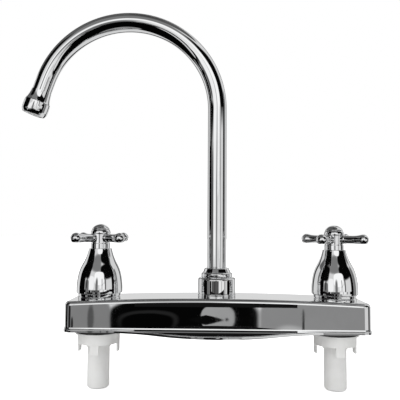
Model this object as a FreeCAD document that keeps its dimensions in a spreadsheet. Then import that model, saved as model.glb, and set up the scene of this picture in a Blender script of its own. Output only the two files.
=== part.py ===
import FreeCAD, Part
import math
import os
import sys

import Sketcher
from FreeCAD import Placement, Rotation, Vector

# A two handle kitchen faucet on an eight inch deck plate, in millimetres.
# +Z is up, +X runs from the left handle to the right one, -Y is the side that faces the user.
# The origin is on the top of the sink deck, under the axis of the spout.

SIZES = {
    # deck cover
    "handle_spacing": (203.2, "from one handle axis to the other"),
    "cover_overhang": (25.4, "cover beyond a handle axis, to its end face"),
    "cover_width": (45.0, "face to face along Y"),
    "cover_height": (28.0, "top of the crown at the middle"),
    "crown_drop": (3.4, "how much lower the crown is at the ends"),
    "cover_wall": (2.4, "moulded wall"),
    "cover_corner": (7.0, "upright corner radius"),
    "cover_edge": (3.2, "rounding along the top edge"),
    "lip_height": (2.2, "thickness of the bottom lip"),
    "lip_rim": (0.8, "how far the lip stands out all round"),
    "lip_round": (0.6, "rounding of the lip's upper edge"),
    "lip_depth": (22.0, "how far it bows out in front of the spout"),
    "lip_span": (192.0, "length of the bow"),
    "seat_radius": (18.1, "round seat under each handle"),
    "seat_drop": (1.0, "seat top below the middle of the crown"),
    "seat_thickness": (4.6, "seat, down to its underside"),
    "centre_seat_radius": (16.2, "round seat under the spout"),
    "centre_seat_rise": (0.4, "seat top above the crown"),
    "centre_seat_thickness": (5.0, "seat, down to its underside"),
    # moulded valve bodies
    "neck_radius": (10.5, "threaded neck through the cover"),
    "neck_rise": (16.0, "neck above the seat"),
    "chamber_radius": (14.0, "outside of the valve chamber"),
    "chamber_bore": (11.0, "water space round the cartridge"),
    "chamber_floor": (4.0, "level of the floor that seals the cartridge"),
    "thread_radius": (10.3, "threaded part of the shank"),
    "thread_drop": (15.5, "thread below the deck"),
    "shank_radius": (9.4, "plain inlet below the thread"),
    "shank_drop": (50.0, "inlet end below the deck"),
    "shank_bore": (5.5, "waterway in the shank"),
    "shank_chamfer": (1.2, "chamfer at the inlet end"),
    # crossover tubes and spout hub
    "tube_level": (14.5, "axis of the crossover tubes"),
    "tube_radius": (5.0, "outside of a crossover tube"),
    "tube_wall": (1.0, "wall of a crossover tube"),
    "boss_radius": (7.0, "socket for a crossover tube"),
    "boss_length": (7.0, "socket beyond the chamber"),
    "hub_radius": (13.4, "outside of the spout hub"),
    "hub_neck_radius": (12.5, "threaded neck of the hub"),
    "hub_neck_rise": (11.2, "neck above the centre seat"),
    "hub_bore": (8.5, "mixing chamber"),
    "hub_floor": (7.5, "level of its floor"),
    "tail_radius": (10.6, "brass tail of the spout"),
    "tail_depth": (22.0, "tail below the top of the hub"),
    "flange_radius": (12.0, "flange that the nut traps"),
    "flange_height": (2.4, "thickness of that flange"),
    "glide_height": (1.0, "plastic washer under the flange"),
    "seal_section": (0.85, "radius of the cord of a spout seal"),
    # spout
    "spout_radius": (8.3, "outside of the gooseneck"),
    "spout_wall": (1.2, "wall of the gooseneck"),
    "arc_radius": (79.0, "bend radius on the axis"),
    "arc_level": (191.0, "centre of the bend"),
    "arc_sweep": (161.0, "degrees of bend"),
    "drop_length": (14.8, "straight run after the bend"),
    "nut_radius": (16.2, "body of the spout nut"),
    "nut_height": (13.3, "height of that body"),
    "nut_shoulder_round": (2.0, "rounded shoulder of that body"),
    "nut_step_radius": (13.4, "first ring above it"),
    "nut_step_height": (4.2, "height of the first ring"),
    "nut_step_round": (1.5, "roundings of the first ring"),
    "nut_top_radius": (12.4, "foot of the second ring"),
    "nut_crown_radius": (10.7, "top of the second ring"),
    "nut_top_height": (3.7, "height of the second ring"),
    "nut_edge_round": (0.7, "small rounding at the foot and the top"),
    "nut_ring_height": (2.2, "base ring under the nut"),
    # outlet
    "tip_length": (10.2, "flare from the tube to the outlet"),
    "tip_socket": (4.7, "depth that the tube enters the flare"),
    "outlet_radius": (11.3, "outside of the aerator housing"),
    "outlet_length": (11.8, "height of the aerator housing"),
    "outlet_bevel": (1.5, "bevel round the mouth"),
    "outlet_mouth": (8.4, "radius of the mouth"),
    "outlet_thread": (9.9, "radius of the hidden thread"),
    "screen_holes": (10.0, "holes in the aerator insert"),
    # bell under each handle
    "bell_ring_height": (3.2, "ring between the seat and the bell"),
    "bell_radius": (19.7, "widest radius of the bell"),
    "bell_height": (37.8, "height of the bell"),
    "bell_foot": (2.6, "upright foot of the bell"),
    "bell_lower_curve": (58.0, "radius of the long lower curve"),
    "bell_lower_turn": (13.3, "degrees that it turns"),
    "bell_shoulder_curve": (33.0, "radius of the shoulder"),
    "bell_shoulder_slope": (30.0, "steepest slope in degrees"),
    "bell_neck_curve": (42.0, "radius of the hollow neck"),
    "bell_rim": (0.7, "upright rim above the hollow neck"),
    "bell_chamfer": (0.5, "chamfer of the rim and the foot"),
    "bell_wall": (1.9, "wall of the bell"),
    "bell_collar_level": (6.0, "threaded collar above the foot"),
    "bell_collar_height": (8.0, "height of that collar"),
    # cross handle
    "hub_dip": (6.5, "how far the hub sits in the bell"),
    "hub_stem_radius": (8.2, "lower hub"),
    "hub_waist": (0.4, "how far the hub draws in at the arms"),
    "hub_cove": (0.6, "slope between the lower hub and the waist"),
    "hub_height": (22.9, "hub from its foot to its top"),
    "hub_bead_radius": (8.4, "bead above the arms"),
    "bead_curve": (2.8, "radius that rounds the bead into the top"),
    "arm_level": (15.5, "arm axis above the foot of the hub"),
    "arm_neck_radius": (3.4, "thin part of an arm"),
    "arm_ridge_radius": (3.9, "ridge at the root of an arm"),
    "arm_root": (1.5, "how far an arm starts inside the hub"),
    "arm_ridge_length": (1.8, "ridge outside the hub"),
    "arm_ridge_slope": (0.5, "slope at the end of the ridge"),
    "arm_head_radius": (4.6, "ball at the end of an arm"),
    "arm_head_centre": (25.4, "centre of the ball from the axis"),
    "arm_head_start": (16.5, "where the arm starts to swell"),
    "arm_flat": (3.5, "flat underside below the arm axis"),
    "arm_count": (4.0, "arms on a handle"),
    "left_turn": (50.0, "angle of the left cross at rest"),
    "right_turn": (-37.0, "angle of the right cross at rest"),
    "cap_radius": (7.5, "button in the top of the hub"),
    "cap_height": (4.5, "dome of the button"),
    "cap_wall": (2.0, "thickness of the dome at its middle"),
    "cap_shoulder": (1.0, "rim of the button outside its plug"),
    "cap_plug_depth": (1.2, "plug of the button below its rim"),
    "cap_plug_wall": (1.2, "wall of that plug"),
    "handle_web": (3.0, "web that the handle screw clamps"),
    "hub_cup_depth": (5.0, "cup in the foot of the hub"),
    "hub_cup_wall": (1.4, "wall of that cup"),
    # cartridge and stem
    "cartridge_radius": (8.8, "sleeve of the cartridge"),
    "cartridge_bore": (7.15, "bore that holds the discs"),
    "cartridge_rise": (5.6, "hexagon above the neck"),
    "hex_flats": (17.0, "across the flats"),
    "seal_height": (2.0, "rubber seat under the fixed disc"),
    "disc_height": (2.5, "each ceramic disc"),
    "disc_radius": (7.0, "ceramic discs"),
    "port_radius": (1.9, "ports in the fixed disc"),
    "port_offset": (4.2, "port from the axis"),
    "foot_height": (2.5, "foot of the stem"),
    "stem_radius": (3.9, "stem in the cartridge"),
    "stem_tip_radius": (3.2, "splined end of the stem"),
    "stem_seal_section": (0.5, "radius of the cord of a stem seal"),
    "screw_radius": (1.8, "shank of the handle screw"),
    "screw_head_radius": (3.4, "head of the handle screw"),
    "screw_head_height": (2.0, "height of that head"),
    "screw_length": (13.0, "shank below the head"),
    # clamping parts below the deck
    "washer_lap": (0.1, "how far the rubber washer reaches under the cover's wall"),
    "washer_height": (2.7, "thickness of the washer"),
    "nut_flange_radius": (20.0, "flange of the mounting nut"),
    "nut_flange_height": (1.3, "thickness of that flange"),
    "skirt_radius": (17.8, "skirt of the mounting nut"),
    "skirt_wall": (2.0, "wall of the skirt"),
    "skirt_height": (8.0, "skirt below the flange"),
    "wing_height": (7.6, "wings below the skirt"),
    "wing_width": (7.0, "width of a wing"),
    "wing_count": (4.0, "wings on a nut"),
    "nut_core_wall": (1.8, "wall of the threaded core"),
    # fits
    "running_fit": (0.08, "radial clearance of a turning fit"),
    "seat_fit": (0.05, "clearance of a seated piece"),
    "free_fit": (0.3, "clearance of a loose piece"),
}

doc = FreeCAD.newDocument("TwoHandleKitchenFaucet")
sheet = doc.addObject("Spreadsheet::Sheet", "Sizes")
for row, (alias, (number, note)) in enumerate(SIZES.items(), start=1):
    sheet.set(f"A{row}", alias)
    sheet.set(f"B{row}", str(number))
    sheet.set(f"C{row}", note)
    sheet.setAlias(f"B{row}", alias)
doc.recompute()


class Size:
    """A number and the sheet expression that gives it, so geometry and constraint agree."""

    def __init__(self, value, text):
        self.value = value
        self.text = text

    def __add__(self, other):
        return Size(self.value + number(other), f"({self.text} + {wording(other)})")

    def __radd__(self, other):
        return Size(number(other) + self.value, f"({wording(other)} + {self.text})")

    def __sub__(self, other):
        return Size(self.value - number(other), f"({self.text} - {wording(other)})")

    def __rsub__(self, other):
        return Size(number(other) - self.value, f"({wording(other)} - {self.text})")

    def __mul__(self, other):
        return Size(self.value * number(other), f"({self.text} * {wording(other)})")

    def __rmul__(self, other):
        return Size(number(other) * self.value, f"({wording(other)} * {self.text})")

    def __truediv__(self, other):
        return Size(self.value / number(other), f"({self.text} / {wording(other)})")

    def __neg__(self):
        return Size(-self.value, f"(-1 * {self.text})")


def number(item):
    return item.value if isinstance(item, Size) else float(item)


def wording(item):
    return item.text if isinstance(item, Size) else f"({float(item):.6f})"


def sine(angle):
    return Size(math.sin(math.radians(angle.value)), f"sin({angle.text})")


def cosine(angle):
    return Size(math.cos(math.radians(angle.value)), f"cos({angle.text})")


def root(square):
    return Size(math.sqrt(square.value), f"sqrt({square.text})")


def from_sheet(alias):
    return Size(float(sheet.get(alias)), f"Sizes.{alias}")


size = {alias: from_sheet(alias) for alias in SIZES}
LEFT = -1
RIGHT = 1
SIDE_NAME = {LEFT: "left", RIGHT: "right"}
nodes = []


# Stations: places and levels that several pieces share.
handle_x = {side: size["handle_spacing"] * (0.5 * side) for side in (LEFT, RIGHT)}
cover_half = size["handle_spacing"] / 2 + size["cover_overhang"]
seat_top = size["cover_height"] - size["seat_drop"]
seat_under = seat_top - size["seat_thickness"]
neck_top = seat_top + size["neck_rise"]
bell_base = seat_top + size["bell_ring_height"]
bell_top = bell_base + size["bell_height"]
handle_base = bell_top - size["hub_dip"]
cartridge_top = neck_top + size["cartridge_rise"]
fixed_disc_base = size["chamber_floor"] + size["seal_height"]
turning_disc_base = fixed_disc_base + size["disc_height"] + size["seat_fit"]
stem_base = turning_disc_base + size["disc_height"] + size["seat_fit"]
disc_bore_top = stem_base + size["foot_height"] + size["seat_fit"]
centre_top = size["cover_height"] + size["centre_seat_rise"]
centre_under = centre_top - size["centre_seat_thickness"]
hub_top = centre_top + size["hub_neck_rise"]
tail_base = hub_top - size["tail_depth"]
flange_base = hub_top + size["glide_height"] + size["seat_fit"]
nut_base = centre_top + size["nut_ring_height"]
nut_shoulder = flange_base + size["flange_height"] + size["running_fit"]
nut_bore = size["spout_radius"] + size["running_fit"]
neck_hole = size["neck_radius"] + size["free_fit"]
hub_socket = size["tail_radius"] + size["running_fit"]
tube_socket = size["tube_radius"] + size["seat_fit"]
tube_bore = size["tube_radius"] - size["tube_wall"]
hub_tube_stop = size["hub_radius"] + size["seat_fit"]
valve_reach = size["chamber_radius"] + size["boss_length"]
hub_reach = size["hub_radius"] + size["boss_length"]
washer_radius = size["cover_width"] / 2 - size["cover_wall"] + size["washer_lap"]
spout_end_x = -(size["arc_radius"] + size["arc_radius"] * cosine(180 - size["arc_sweep"])) - (
    size["drop_length"] * sine(180 - size["arc_sweep"])
)
spout_end_z = size["arc_level"] + size["arc_radius"] * sine(180 - size["arc_sweep"]) - (
    size["drop_length"] * cosine(180 - size["arc_sweep"])
)


# ---------------------------------------------------------------- helpers


def bind(item, path, amount):
    """Tie a property of an object to the sheet."""
    item.setExpression(path, wording(amount))


def place(item, x=0.0, y=0.0, z=0.0, turn=None, axis=Vector(0, 0, 1)):
    """Put an object at a point that the sheet gives, turned about an axis."""
    angle = number(turn) if turn is not None else 0.0
    base = Vector(number(x), number(y), number(z))
    item.Placement = Placement(base, Rotation(axis, angle))
    for path, amount in (("x", x), ("y", y), ("z", z)):
        if isinstance(amount, Size):
            bind(item, f"Placement.Base.{path}", amount)
    if isinstance(turn, Size):
        bind(item, "Placement.Rotation.Angle", turn)


def new_body(name):
    body = doc.addObject("PartDesign::Body", name)
    body.Label = name
    return body


def keep(item, name):
    item.Label = name
    nodes.append(item)
    return item


def origin_feature(body, role):
    return next(item for item in body.Origin.OriginFeatures if item.Role == role)


def new_sketch(body, name, role):
    sketch = body.newObject("Sketcher::SketchObject", name)
    sketch.AttachmentSupport = [(origin_feature(body, role), "")]
    sketch.MapMode = "FlatFace"
    return sketch


def pin_point(sketch, edge, end, corner):
    """Fix one end of an edge at a corner whose two sizes come from the sheet."""
    names = (("DistanceX", corner[0], -2), ("DistanceY", corner[1], -1))
    for kind, amount, axis in names:
        if number(amount) == 0.0:
            sketch.addConstraint(Sketcher.Constraint("PointOnObject", edge, end, axis))
        else:
            rule = Sketcher.Constraint(kind, -1, 1, edge, end, number(amount))
            hold(sketch, rule, amount)


def hold(sketch, rule, amount):
    index = sketch.addConstraint(rule)
    label = f"size_{index}"
    sketch.renameConstraint(index, label)
    bind(sketch, f"Constraints.{label}", amount)


def arc_between(start, end, radius):
    """A minor arc from start to end; a positive radius turns left, a negative one right."""
    chord = end - start
    middle = (start + end) * 0.5
    rise = math.sqrt(max(radius * radius - chord.Length * chord.Length / 4.0, 0.0))
    left = Vector(-chord.y, chord.x, 0)
    left.normalize()
    centre = middle + left * math.copysign(rise, radius)
    first, last = (start, end) if radius > 0 else (end, start)
    begin = math.atan2(first.y - centre.y, first.x - centre.x)
    finish = math.atan2(last.y - centre.y, last.x - centre.x)
    circle = Part.Circle(centre, Vector(0, 0, 1), abs(radius))
    return Part.ArcOfCircle(circle, begin, finish)


def outline(sketch, corners, arcs=None):
    """Draw a closed outline; arcs gives the signed radius of the edges that are curved."""
    arcs = arcs or {}
    base = sketch.GeometryCount
    count = len(corners)
    ends = []
    for index in range(count):
        start, end = (
            Vector(number(corners[k % count][0]), number(corners[k % count][1]), 0)
            for k in (index, index + 1)
        )
        if index in arcs:
            sketch.addGeometry(arc_between(start, end, number(arcs[index])), False)
            ends.append((1, 2) if number(arcs[index]) > 0 else (2, 1))
        else:
            sketch.addGeometry(Part.LineSegment(start, end), False)
            ends.append((1, 2))
    for index in range(count):
        after = (index + 1) % count
        rule = Sketcher.Constraint(
            "Coincident", base + index, ends[index][1], base + after, ends[after][0]
        )
        sketch.addConstraint(rule)
        pin_point(sketch, base + index, ends[index][0], corners[index])
    for index, radius in arcs.items():
        length = radius if number(radius) > 0 else -radius
        hold(sketch, Sketcher.Constraint("Radius", base + index, number(length)), length)


def circle(sketch, x, y, radius):
    """Draw a circle whose centre and radius come from the sheet."""
    edge = sketch.addGeometry(
        Part.Circle(Vector(number(x), number(y), 0), Vector(0, 0, 1), number(radius)), False
    )
    pin_point(sketch, edge, 3, (x, y))
    hold(sketch, Sketcher.Constraint("Radius", edge, number(radius)), radius)


def turned_feature(body, name, corners, arcs=None, groove=False):
    """Revolve an outline of (radius, level) corners about the body's Z axis."""
    sketch = new_sketch(body, f"{name}_sketch", "XZ_Plane")
    outline(sketch, corners, arcs)
    kind = "PartDesign::Groove" if groove else "PartDesign::Revolution"
    feature = body.newObject(kind, name)
    feature.Profile = sketch
    feature.ReferenceAxis = (sketch, ["V_Axis"])
    feature.Angle = 360
    sketch.Visibility = False
    return feature


def turned(name, corners, arcs=None, x=0.0, z=0.0, turn=None, axis=Vector(0, 0, 1)):
    """A lathe-turned piece as a body of its own, kept as a node."""
    body = new_body(name)
    turned_feature(body, f"{name}_turning", corners, arcs)
    place(body, x=x, z=z, turn=turn, axis=axis)
    return keep(body, name)


def ring_corners(inner, outer, low, high):
    return [(inner, low), (outer, low), (outer, high), (inner, high)]


def disc_corners(outer, low, high):
    return ring_corners(0.0, outer, low, high)


def rod(body, name, radius, length, x=0.0, y=0.0, z=0.0, axis=None, cut=False):
    """Add or cut a plain cylinder; axis X lays it along X, otherwise it stands up."""
    kind = "PartDesign::SubtractiveCylinder" if cut else "PartDesign::AdditiveCylinder"
    feature = body.newObject(kind, name)
    feature.Radius = number(radius)
    feature.Height = number(length)
    bind(feature, "Radius", radius)
    bind(feature, "Height", length)
    quarter = 90.0 if axis == "X" else None
    place(feature, x=x, y=y, z=z, turn=quarter, axis=Vector(0, 1, 0))
    return feature


def block(body, name, length, width, height, x, y, z, cut=False):
    kind = "PartDesign::SubtractiveBox" if cut else "PartDesign::AdditiveBox"
    feature = body.newObject(kind, name)
    for path, amount in (("Length", length), ("Width", width), ("Height", height)):
        setattr(feature, path, number(amount))
        if isinstance(amount, Size):
            bind(feature, path, amount)
    place(feature, x=x, y=y, z=z)
    return feature


def pattern_round(body, name, features, count):
    """Repeat features evenly round the body's Z axis."""
    pattern = body.newObject("PartDesign::PolarPattern", name)
    pattern.Originals = features
    pattern.Axis = (origin_feature(body, "Z_Axis"), [""])
    pattern.Angle = 360
    pattern.Occurrences = int(round(number(count)))
    bind(pattern, "Occurrences", count)
    body.Tip = pattern
    return pattern


def edges_where(shape, test):
    return [f"Edge{k}" for k, edge in enumerate(shape.Edges, start=1) if test(edge)]


def round_edges(body, name, radius, test):
    """Fillet the edges of the body's last feature that pass a test."""
    doc.recompute()
    base = body.Tip
    names = edges_where(base.Shape, test)
    if not names:
        raise RuntimeError(f"{name} found no edges")
    feature = body.newObject("PartDesign::Fillet", name)
    feature.Base = (base, names)
    feature.Radius = number(radius)
    bind(feature, "Radius", radius)
    return feature


def middle_of(edge):
    return edge.valueAt((edge.FirstParameter + edge.LastParameter) / 2.0)


def upright(edge):
    first, last = (vertex.Point for vertex in edge.Vertexes[:2]) if len(edge.Vertexes) > 1 else (
        Vector(0, 0, 0),
        Vector(1, 0, 0),
    )
    return abs(first.x - last.x) < 0.01 and abs(first.y - last.y) < 0.01


# ---------------------------------------------------------------- deck cover


def crown_outline(sketch, half, top, drop, low):
    """Front view of the crowned cover: a flat foot and one long arc on top."""
    edge = top - drop
    radius = (half * half + drop * drop) / (drop * 2.0)
    corners = [(-half, low), (half, low), (half, edge), (-half, edge)]
    outline(sketch, corners, {2: radius})


def lip_outline(sketch):
    """Plan of the bottom lip: a rounded oblong that bows out smoothly in front."""
    half_x = cover_half + size["lip_rim"]
    half_y = size["cover_width"] / 2 + size["lip_rim"]
    corner = size["cover_corner"] + size["lip_rim"]
    half_bow = size["lip_span"] / 2
    depth = size["lip_depth"] - size["lip_rim"]
    sweep = (half_bow * half_bow + depth * depth) / (depth * 4.0)
    front = -half_y
    corners = [
        (-half_bow, front),
        (-half_bow / 2, front - depth / 2),
        (half_bow / 2, front - depth / 2),
        (half_bow, front),
        (half_x - corner, front),
        (half_x, front + corner),
        (half_x, half_y - corner),
        (half_x - corner, half_y),
        (corner - half_x, half_y),
        (-half_x, half_y - corner),
        (-half_x, front + corner),
        (corner - half_x, front),
    ]
    arcs = {0: -sweep, 1: sweep, 2: -sweep, 4: corner, 6: corner, 8: corner, 10: corner}
    outline(sketch, corners, arcs)


def base_cover():
    """Crowned shell with a bowed lip, three round seats and three holes."""
    body = new_body("base_cover")
    half_x = cover_half
    half_y = size["cover_width"] / 2
    wall = size["cover_wall"]

    front = new_sketch(body, "cover_front_view", "XZ_Plane")
    crown_outline(front, half_x, size["cover_height"], size["crown_drop"], 0.0)
    shell = body.newObject("PartDesign::Pad", "cover_block")
    shell.Profile = front
    shell.Midplane = True
    bind(shell, "Length", size["cover_width"])
    round_edges(body, "cover_corners", size["cover_corner"], upright)
    low = number(size["cover_height"] - size["crown_drop"]) - 0.01

    def on_top(edge):
        return all(vertex.Z > low for vertex in edge.Vertexes)

    round_edges(body, "cover_top_edge", size["cover_edge"], on_top)

    plan = new_sketch(body, "lip_plan", "XY_Plane")
    lip_outline(plan)
    lip = body.newObject("PartDesign::Pad", "lip")
    lip.Profile = plan
    bind(lip, "Length", size["lip_height"])
    level = number(size["lip_height"])
    clear_x = number(half_x) + 0.01
    clear_y = number(half_y) + 0.01

    def lip_rim(edge):
        point = middle_of(edge)
        outside = abs(point.x) > clear_x or abs(point.y) > clear_y
        return outside and all(abs(vertex.Z - level) < 0.001 for vertex in edge.Vertexes)

    round_edges(body, "lip_rounding", size["lip_round"], lip_rim)

    hollow = new_sketch(body, "hollow_front_view", "XZ_Plane")
    crown_outline(hollow, half_x - wall, size["cover_height"] - wall, size["crown_drop"], -1.0)
    pocket = body.newObject("PartDesign::Pocket", "hollow")
    pocket.Profile = hollow
    pocket.Midplane = True
    bind(pocket, "Length", size["cover_width"] - wall * 2)
    inner_x = number(half_x - wall)
    inner_y = number(half_y - wall)

    def inner_corner(edge):
        point = middle_of(edge)
        return upright(edge) and abs(abs(point.x) - inner_x) + abs(abs(point.y) - inner_y) < 0.02

    round_edges(body, "hollow_corners", size["cover_corner"] - wall, inner_corner)

    seat_height = size["seat_thickness"]
    for side in (LEFT, RIGHT):
        name = SIDE_NAME[side]
        rod(body, f"{name}_seat", size["seat_radius"], seat_height, x=handle_x[side], z=seat_under)
    centre_height = size["centre_seat_thickness"]
    rod(body, "centre_seat", size["centre_seat_radius"], centre_height, z=centre_under)
    for side in (LEFT, RIGHT):
        name = SIDE_NAME[side]
        rod(body, f"{name}_hole", neck_hole, seat_top, x=handle_x[side], z=1.0, cut=True)
    hole = size["hub_neck_radius"] + size["free_fit"]
    rod(body, "centre_hole", hole, centre_top, z=1.0, cut=True)
    keep(body, "base_cover")


# ---------------------------------------------------------------- waterway


def valve_body(side):
    """Moulded chamber, threaded neck and inlet shank in one piece."""
    name = f"{SIDE_NAME[side]}_valve_body"
    body = new_body(name)
    chamfer = size["shank_chamfer"]
    corners = [
        (0.0, -size["shank_drop"]),
        (size["shank_radius"] - chamfer, -size["shank_drop"]),
        (size["shank_radius"], chamfer - size["shank_drop"]),
        (size["shank_radius"], -size["thread_drop"]),
        (size["thread_radius"], -size["thread_drop"]),
        (size["thread_radius"], 0.0),
        (size["chamber_radius"], 0.0),
        (size["chamber_radius"], seat_under),
        (size["neck_radius"], seat_under),
        (size["neck_radius"], neck_top),
        (0.0, neck_top),
    ]
    turned_feature(body, f"{name}_outside", corners)
    inward = -side
    start = 0.0 if inward > 0 else -valve_reach
    rod(body, f"{name}_boss", size["boss_radius"], valve_reach, x=start, z=size["tube_level"], axis="X")
    sleeve = size["cartridge_radius"] + size["seat_fit"]
    annulus_low = fixed_disc_base
    annulus_high = size["tube_level"] + size["tube_radius"]
    bores = [
        (0.0, -size["shank_drop"]),
        (size["shank_bore"], -size["shank_drop"]),
        (size["shank_bore"], size["chamber_floor"]),
        (sleeve, size["chamber_floor"]),
        (sleeve, annulus_low),
        (size["chamber_bore"], annulus_low),
        (size["chamber_bore"], annulus_high),
        (sleeve, annulus_high),
        (sleeve, neck_top),
        (0.0, neck_top),
    ]
    turned_feature(body, f"{name}_bores", bores, groove=True)
    seat_length = size["boss_length"]
    seat_start = size["chamber_radius"] if inward > 0 else -valve_reach
    rod(
        body, f"{name}_tube_seat", tube_socket, seat_length,
        x=seat_start, z=size["tube_level"], axis="X", cut=True,
    )
    port_start = 0.0 if inward > 0 else -size["chamber_radius"]
    port_length = size["chamber_radius"]
    rod(
        body, f"{name}_port", tube_bore, port_length,
        x=port_start, z=size["tube_level"], axis="X", cut=True,
    )
    place(body, x=handle_x[side])
    keep(body, name)


def spout_hub():
    """Moulded socket that joins the two crossover tubes and holds the spout."""
    body = new_body("spout_hub")
    corners = [
        (0.0, 0.0),
        (size["hub_radius"], 0.0),
        (size["hub_radius"], centre_under),
        (size["hub_neck_radius"], centre_under),
        (size["hub_neck_radius"], hub_top),
        (0.0, hub_top),
    ]
    turned_feature(body, "hub_outside", corners)
    length = hub_reach * 2
    rod(body, "hub_bosses", size["boss_radius"], length, x=-hub_reach, z=size["tube_level"], axis="X")
    socket_floor = tail_base - size["free_fit"]
    bores = [
        (0.0, size["hub_floor"]),
        (size["hub_bore"], size["hub_floor"]),
        (size["hub_bore"], socket_floor),
        (hub_socket, socket_floor),
        (hub_socket, hub_top),
        (0.0, hub_top),
    ]
    turned_feature(body, "hub_bores", bores, groove=True)
    for side in (LEFT, RIGHT):
        name = SIDE_NAME[side]
        start = size["hub_radius"] if side > 0 else -hub_reach
        rod(
            body, f"hub_{name}_seat", tube_socket, size["boss_length"],
            x=start, z=size["tube_level"], axis="X", cut=True,
        )
    rod(
        body, "hub_passage", tube_bore, size["hub_radius"] * 2,
        x=-size["hub_radius"], z=size["tube_level"], axis="X", cut=True,
    )
    keep(body, "spout_hub")


def cross_tube(side):
    """Straight tube that is pushed into the valve body at one end and the hub at the other."""
    name = f"{SIDE_NAME[side]}_cross_tube"
    length = size["handle_spacing"] / 2 - size["chamber_radius"] - hub_tube_stop - size["seat_fit"]
    start = hub_tube_stop if side > 0 else -hub_tube_stop - length
    body = new_body(name)
    turned_feature(body, f"{name}_wall", ring_corners(tube_bore, size["tube_radius"], 0.0, length))
    place(body, x=start, z=size["tube_level"], turn=90.0, axis=Vector(0, 1, 0))
    keep(body, name)


# ---------------------------------------------------------------- below the deck


def mount_washer(side):
    hole = size["thread_radius"] + size["free_fit"]
    corners = ring_corners(hole, washer_radius, 0.0, size["washer_height"])
    turned(f"{SIDE_NAME[side]}_mount_washer", corners, x=handle_x[side], z=-size["washer_height"])


def mounting_nut(side):
    """Moulded nut: flange, threaded core, skirt and wings to turn it by hand."""
    name = f"{SIDE_NAME[side]}_mounting_nut"
    body = new_body(name)
    bore = size["thread_radius"] + size["seat_fit"] * 2
    core = bore + size["nut_core_wall"]
    inside = size["skirt_radius"] - size["skirt_wall"]
    flange = -size["nut_flange_height"]
    web = flange - size["skirt_wall"]
    foot = flange - size["skirt_height"]
    corners = [
        (bore, 0.0),
        (bore, foot),
        (core, foot),
        (core, web),
        (inside, web),
        (inside, foot),
        (size["skirt_radius"], foot),
        (size["skirt_radius"], flange),
        (size["nut_flange_radius"], flange),
        (size["nut_flange_radius"], 0.0),
    ]
    turned_feature(body, f"{name}_turning", corners)
    plan = new_sketch(body, f"{name}_wing_plan", "XY_Plane")
    half = size["wing_width"] / 2
    near = inside + size["running_fit"]
    far = root(size["skirt_radius"] * size["skirt_radius"] - half * half) - size["running_fit"]
    outline(plan, [(near, -half), (far, -half), (far, half), (near, half)])
    wing = body.newObject("PartDesign::Pad", f"{name}_wing")
    wing.Profile = plan
    wing.Reversed = True
    bind(wing, "Length", size["nut_flange_height"] + size["skirt_height"] + size["wing_height"])
    pattern_round(body, f"{name}_wings", [wing], size["wing_count"])
    place(body, x=handle_x[side], z=-size["washer_height"])
    keep(body, name)


# ---------------------------------------------------------------- bells


def bell_curve():
    """Corners and arcs of the bell's outside, from its foot to its rim, as (radius, level)."""
    lower = size["bell_lower_turn"]
    steep = size["bell_shoulder_slope"]
    foot = (size["bell_radius"], size["bell_foot"])
    first = (
        foot[0] - size["bell_lower_curve"] * (1 - cosine(lower)),
        foot[1] + size["bell_lower_curve"] * sine(lower),
    )
    shoulder = (
        first[0] - size["bell_shoulder_curve"] * (cosine(lower) - cosine(steep)),
        first[1] + size["bell_shoulder_curve"] * (sine(steep) - sine(lower)),
    )
    neck_level = size["bell_height"] - size["bell_rim"]
    last = sine(steep) - (neck_level - shoulder[1]) / size["bell_neck_curve"]
    neck = (
        shoulder[0] - size["bell_neck_curve"] * (root(1 - last * last) - cosine(steep)),
        neck_level,
    )
    return foot, first, shoulder, neck


def bell(side):
    """Hollow chromed bell with a threaded collar inside."""
    name = f"{SIDE_NAME[side]}_bell"
    body = new_body(name)
    foot, first, shoulder, neck = bell_curve()
    wall = size["bell_wall"]
    height = size["bell_height"]
    chamfer = size["bell_chamfer"]
    opening = size["hub_stem_radius"] + size["free_fit"]
    corners = [
        (foot[0] - wall, 0.0),
        (foot[0] - chamfer, 0.0),
        (foot[0], chamfer),
        foot,
        first,
        shoulder,
        neck,
        (neck[0], height - chamfer),
        (neck[0] - chamfer, height),
        (opening, height),
        (opening, neck[1]),
        (shoulder[0] - wall, shoulder[1]),
        (first[0] - wall, first[1]),
        (foot[0] - wall, foot[1]),
    ]
    arcs = {
        3: size["bell_lower_curve"],
        4: size["bell_shoulder_curve"],
        5: -size["bell_neck_curve"],
        11: -size["bell_shoulder_curve"],
        12: -size["bell_lower_curve"],
    }
    turned_feature(body, f"{name}_shell", corners, arcs)
    low = size["bell_collar_level"]
    high = low + size["bell_collar_height"]
    bore = size["neck_radius"] + size["seat_fit"] * 2
    web = foot[0] - wall * 0.5 - size["bell_lower_curve"] * (1 - cosine(size["bell_lower_turn"]))
    collar = [
        (bore, low),
        (bore + wall, low),
        (bore + wall, high - wall),
        (web, high - wall),
        (web, high),
        (bore, high),
    ]
    turned_feature(body, f"{name}_collar", collar)
    place(body, x=handle_x[side], z=bell_base)
    keep(body, name)


def bell_ring(side):
    """Low ring that carries the bell on the cover's seat."""
    height = size["bell_ring_height"]
    groove = size["seat_fit"] * 8
    outer = size["seat_radius"]
    inner = neck_hole
    corners = [
        (inner, 0.0),
        (outer - groove, 0.0),
        (outer - groove, groove),
        (outer, groove * 2),
        (outer, height),
        (inner, height),
    ]
    turned(f"{SIDE_NAME[side]}_bell_ring", corners, x=handle_x[side], z=seat_top)


# ---------------------------------------------------------------- spout and its nut


def spout_ring():
    """Base ring between the cover's centre seat and the spout nut."""
    height = size["nut_ring_height"]
    groove = size["seat_fit"] * 8
    outer = size["nut_radius"]
    inner = size["hub_neck_radius"] + size["free_fit"]
    corners = [
        (inner, 0.0),
        (outer, 0.0),
        (outer, height - groove * 2),
        (outer - groove, height - groove),
        (outer - groove, height),
        (inner, height),
    ]
    turned("spout_ring", corners, z=centre_top)


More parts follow.
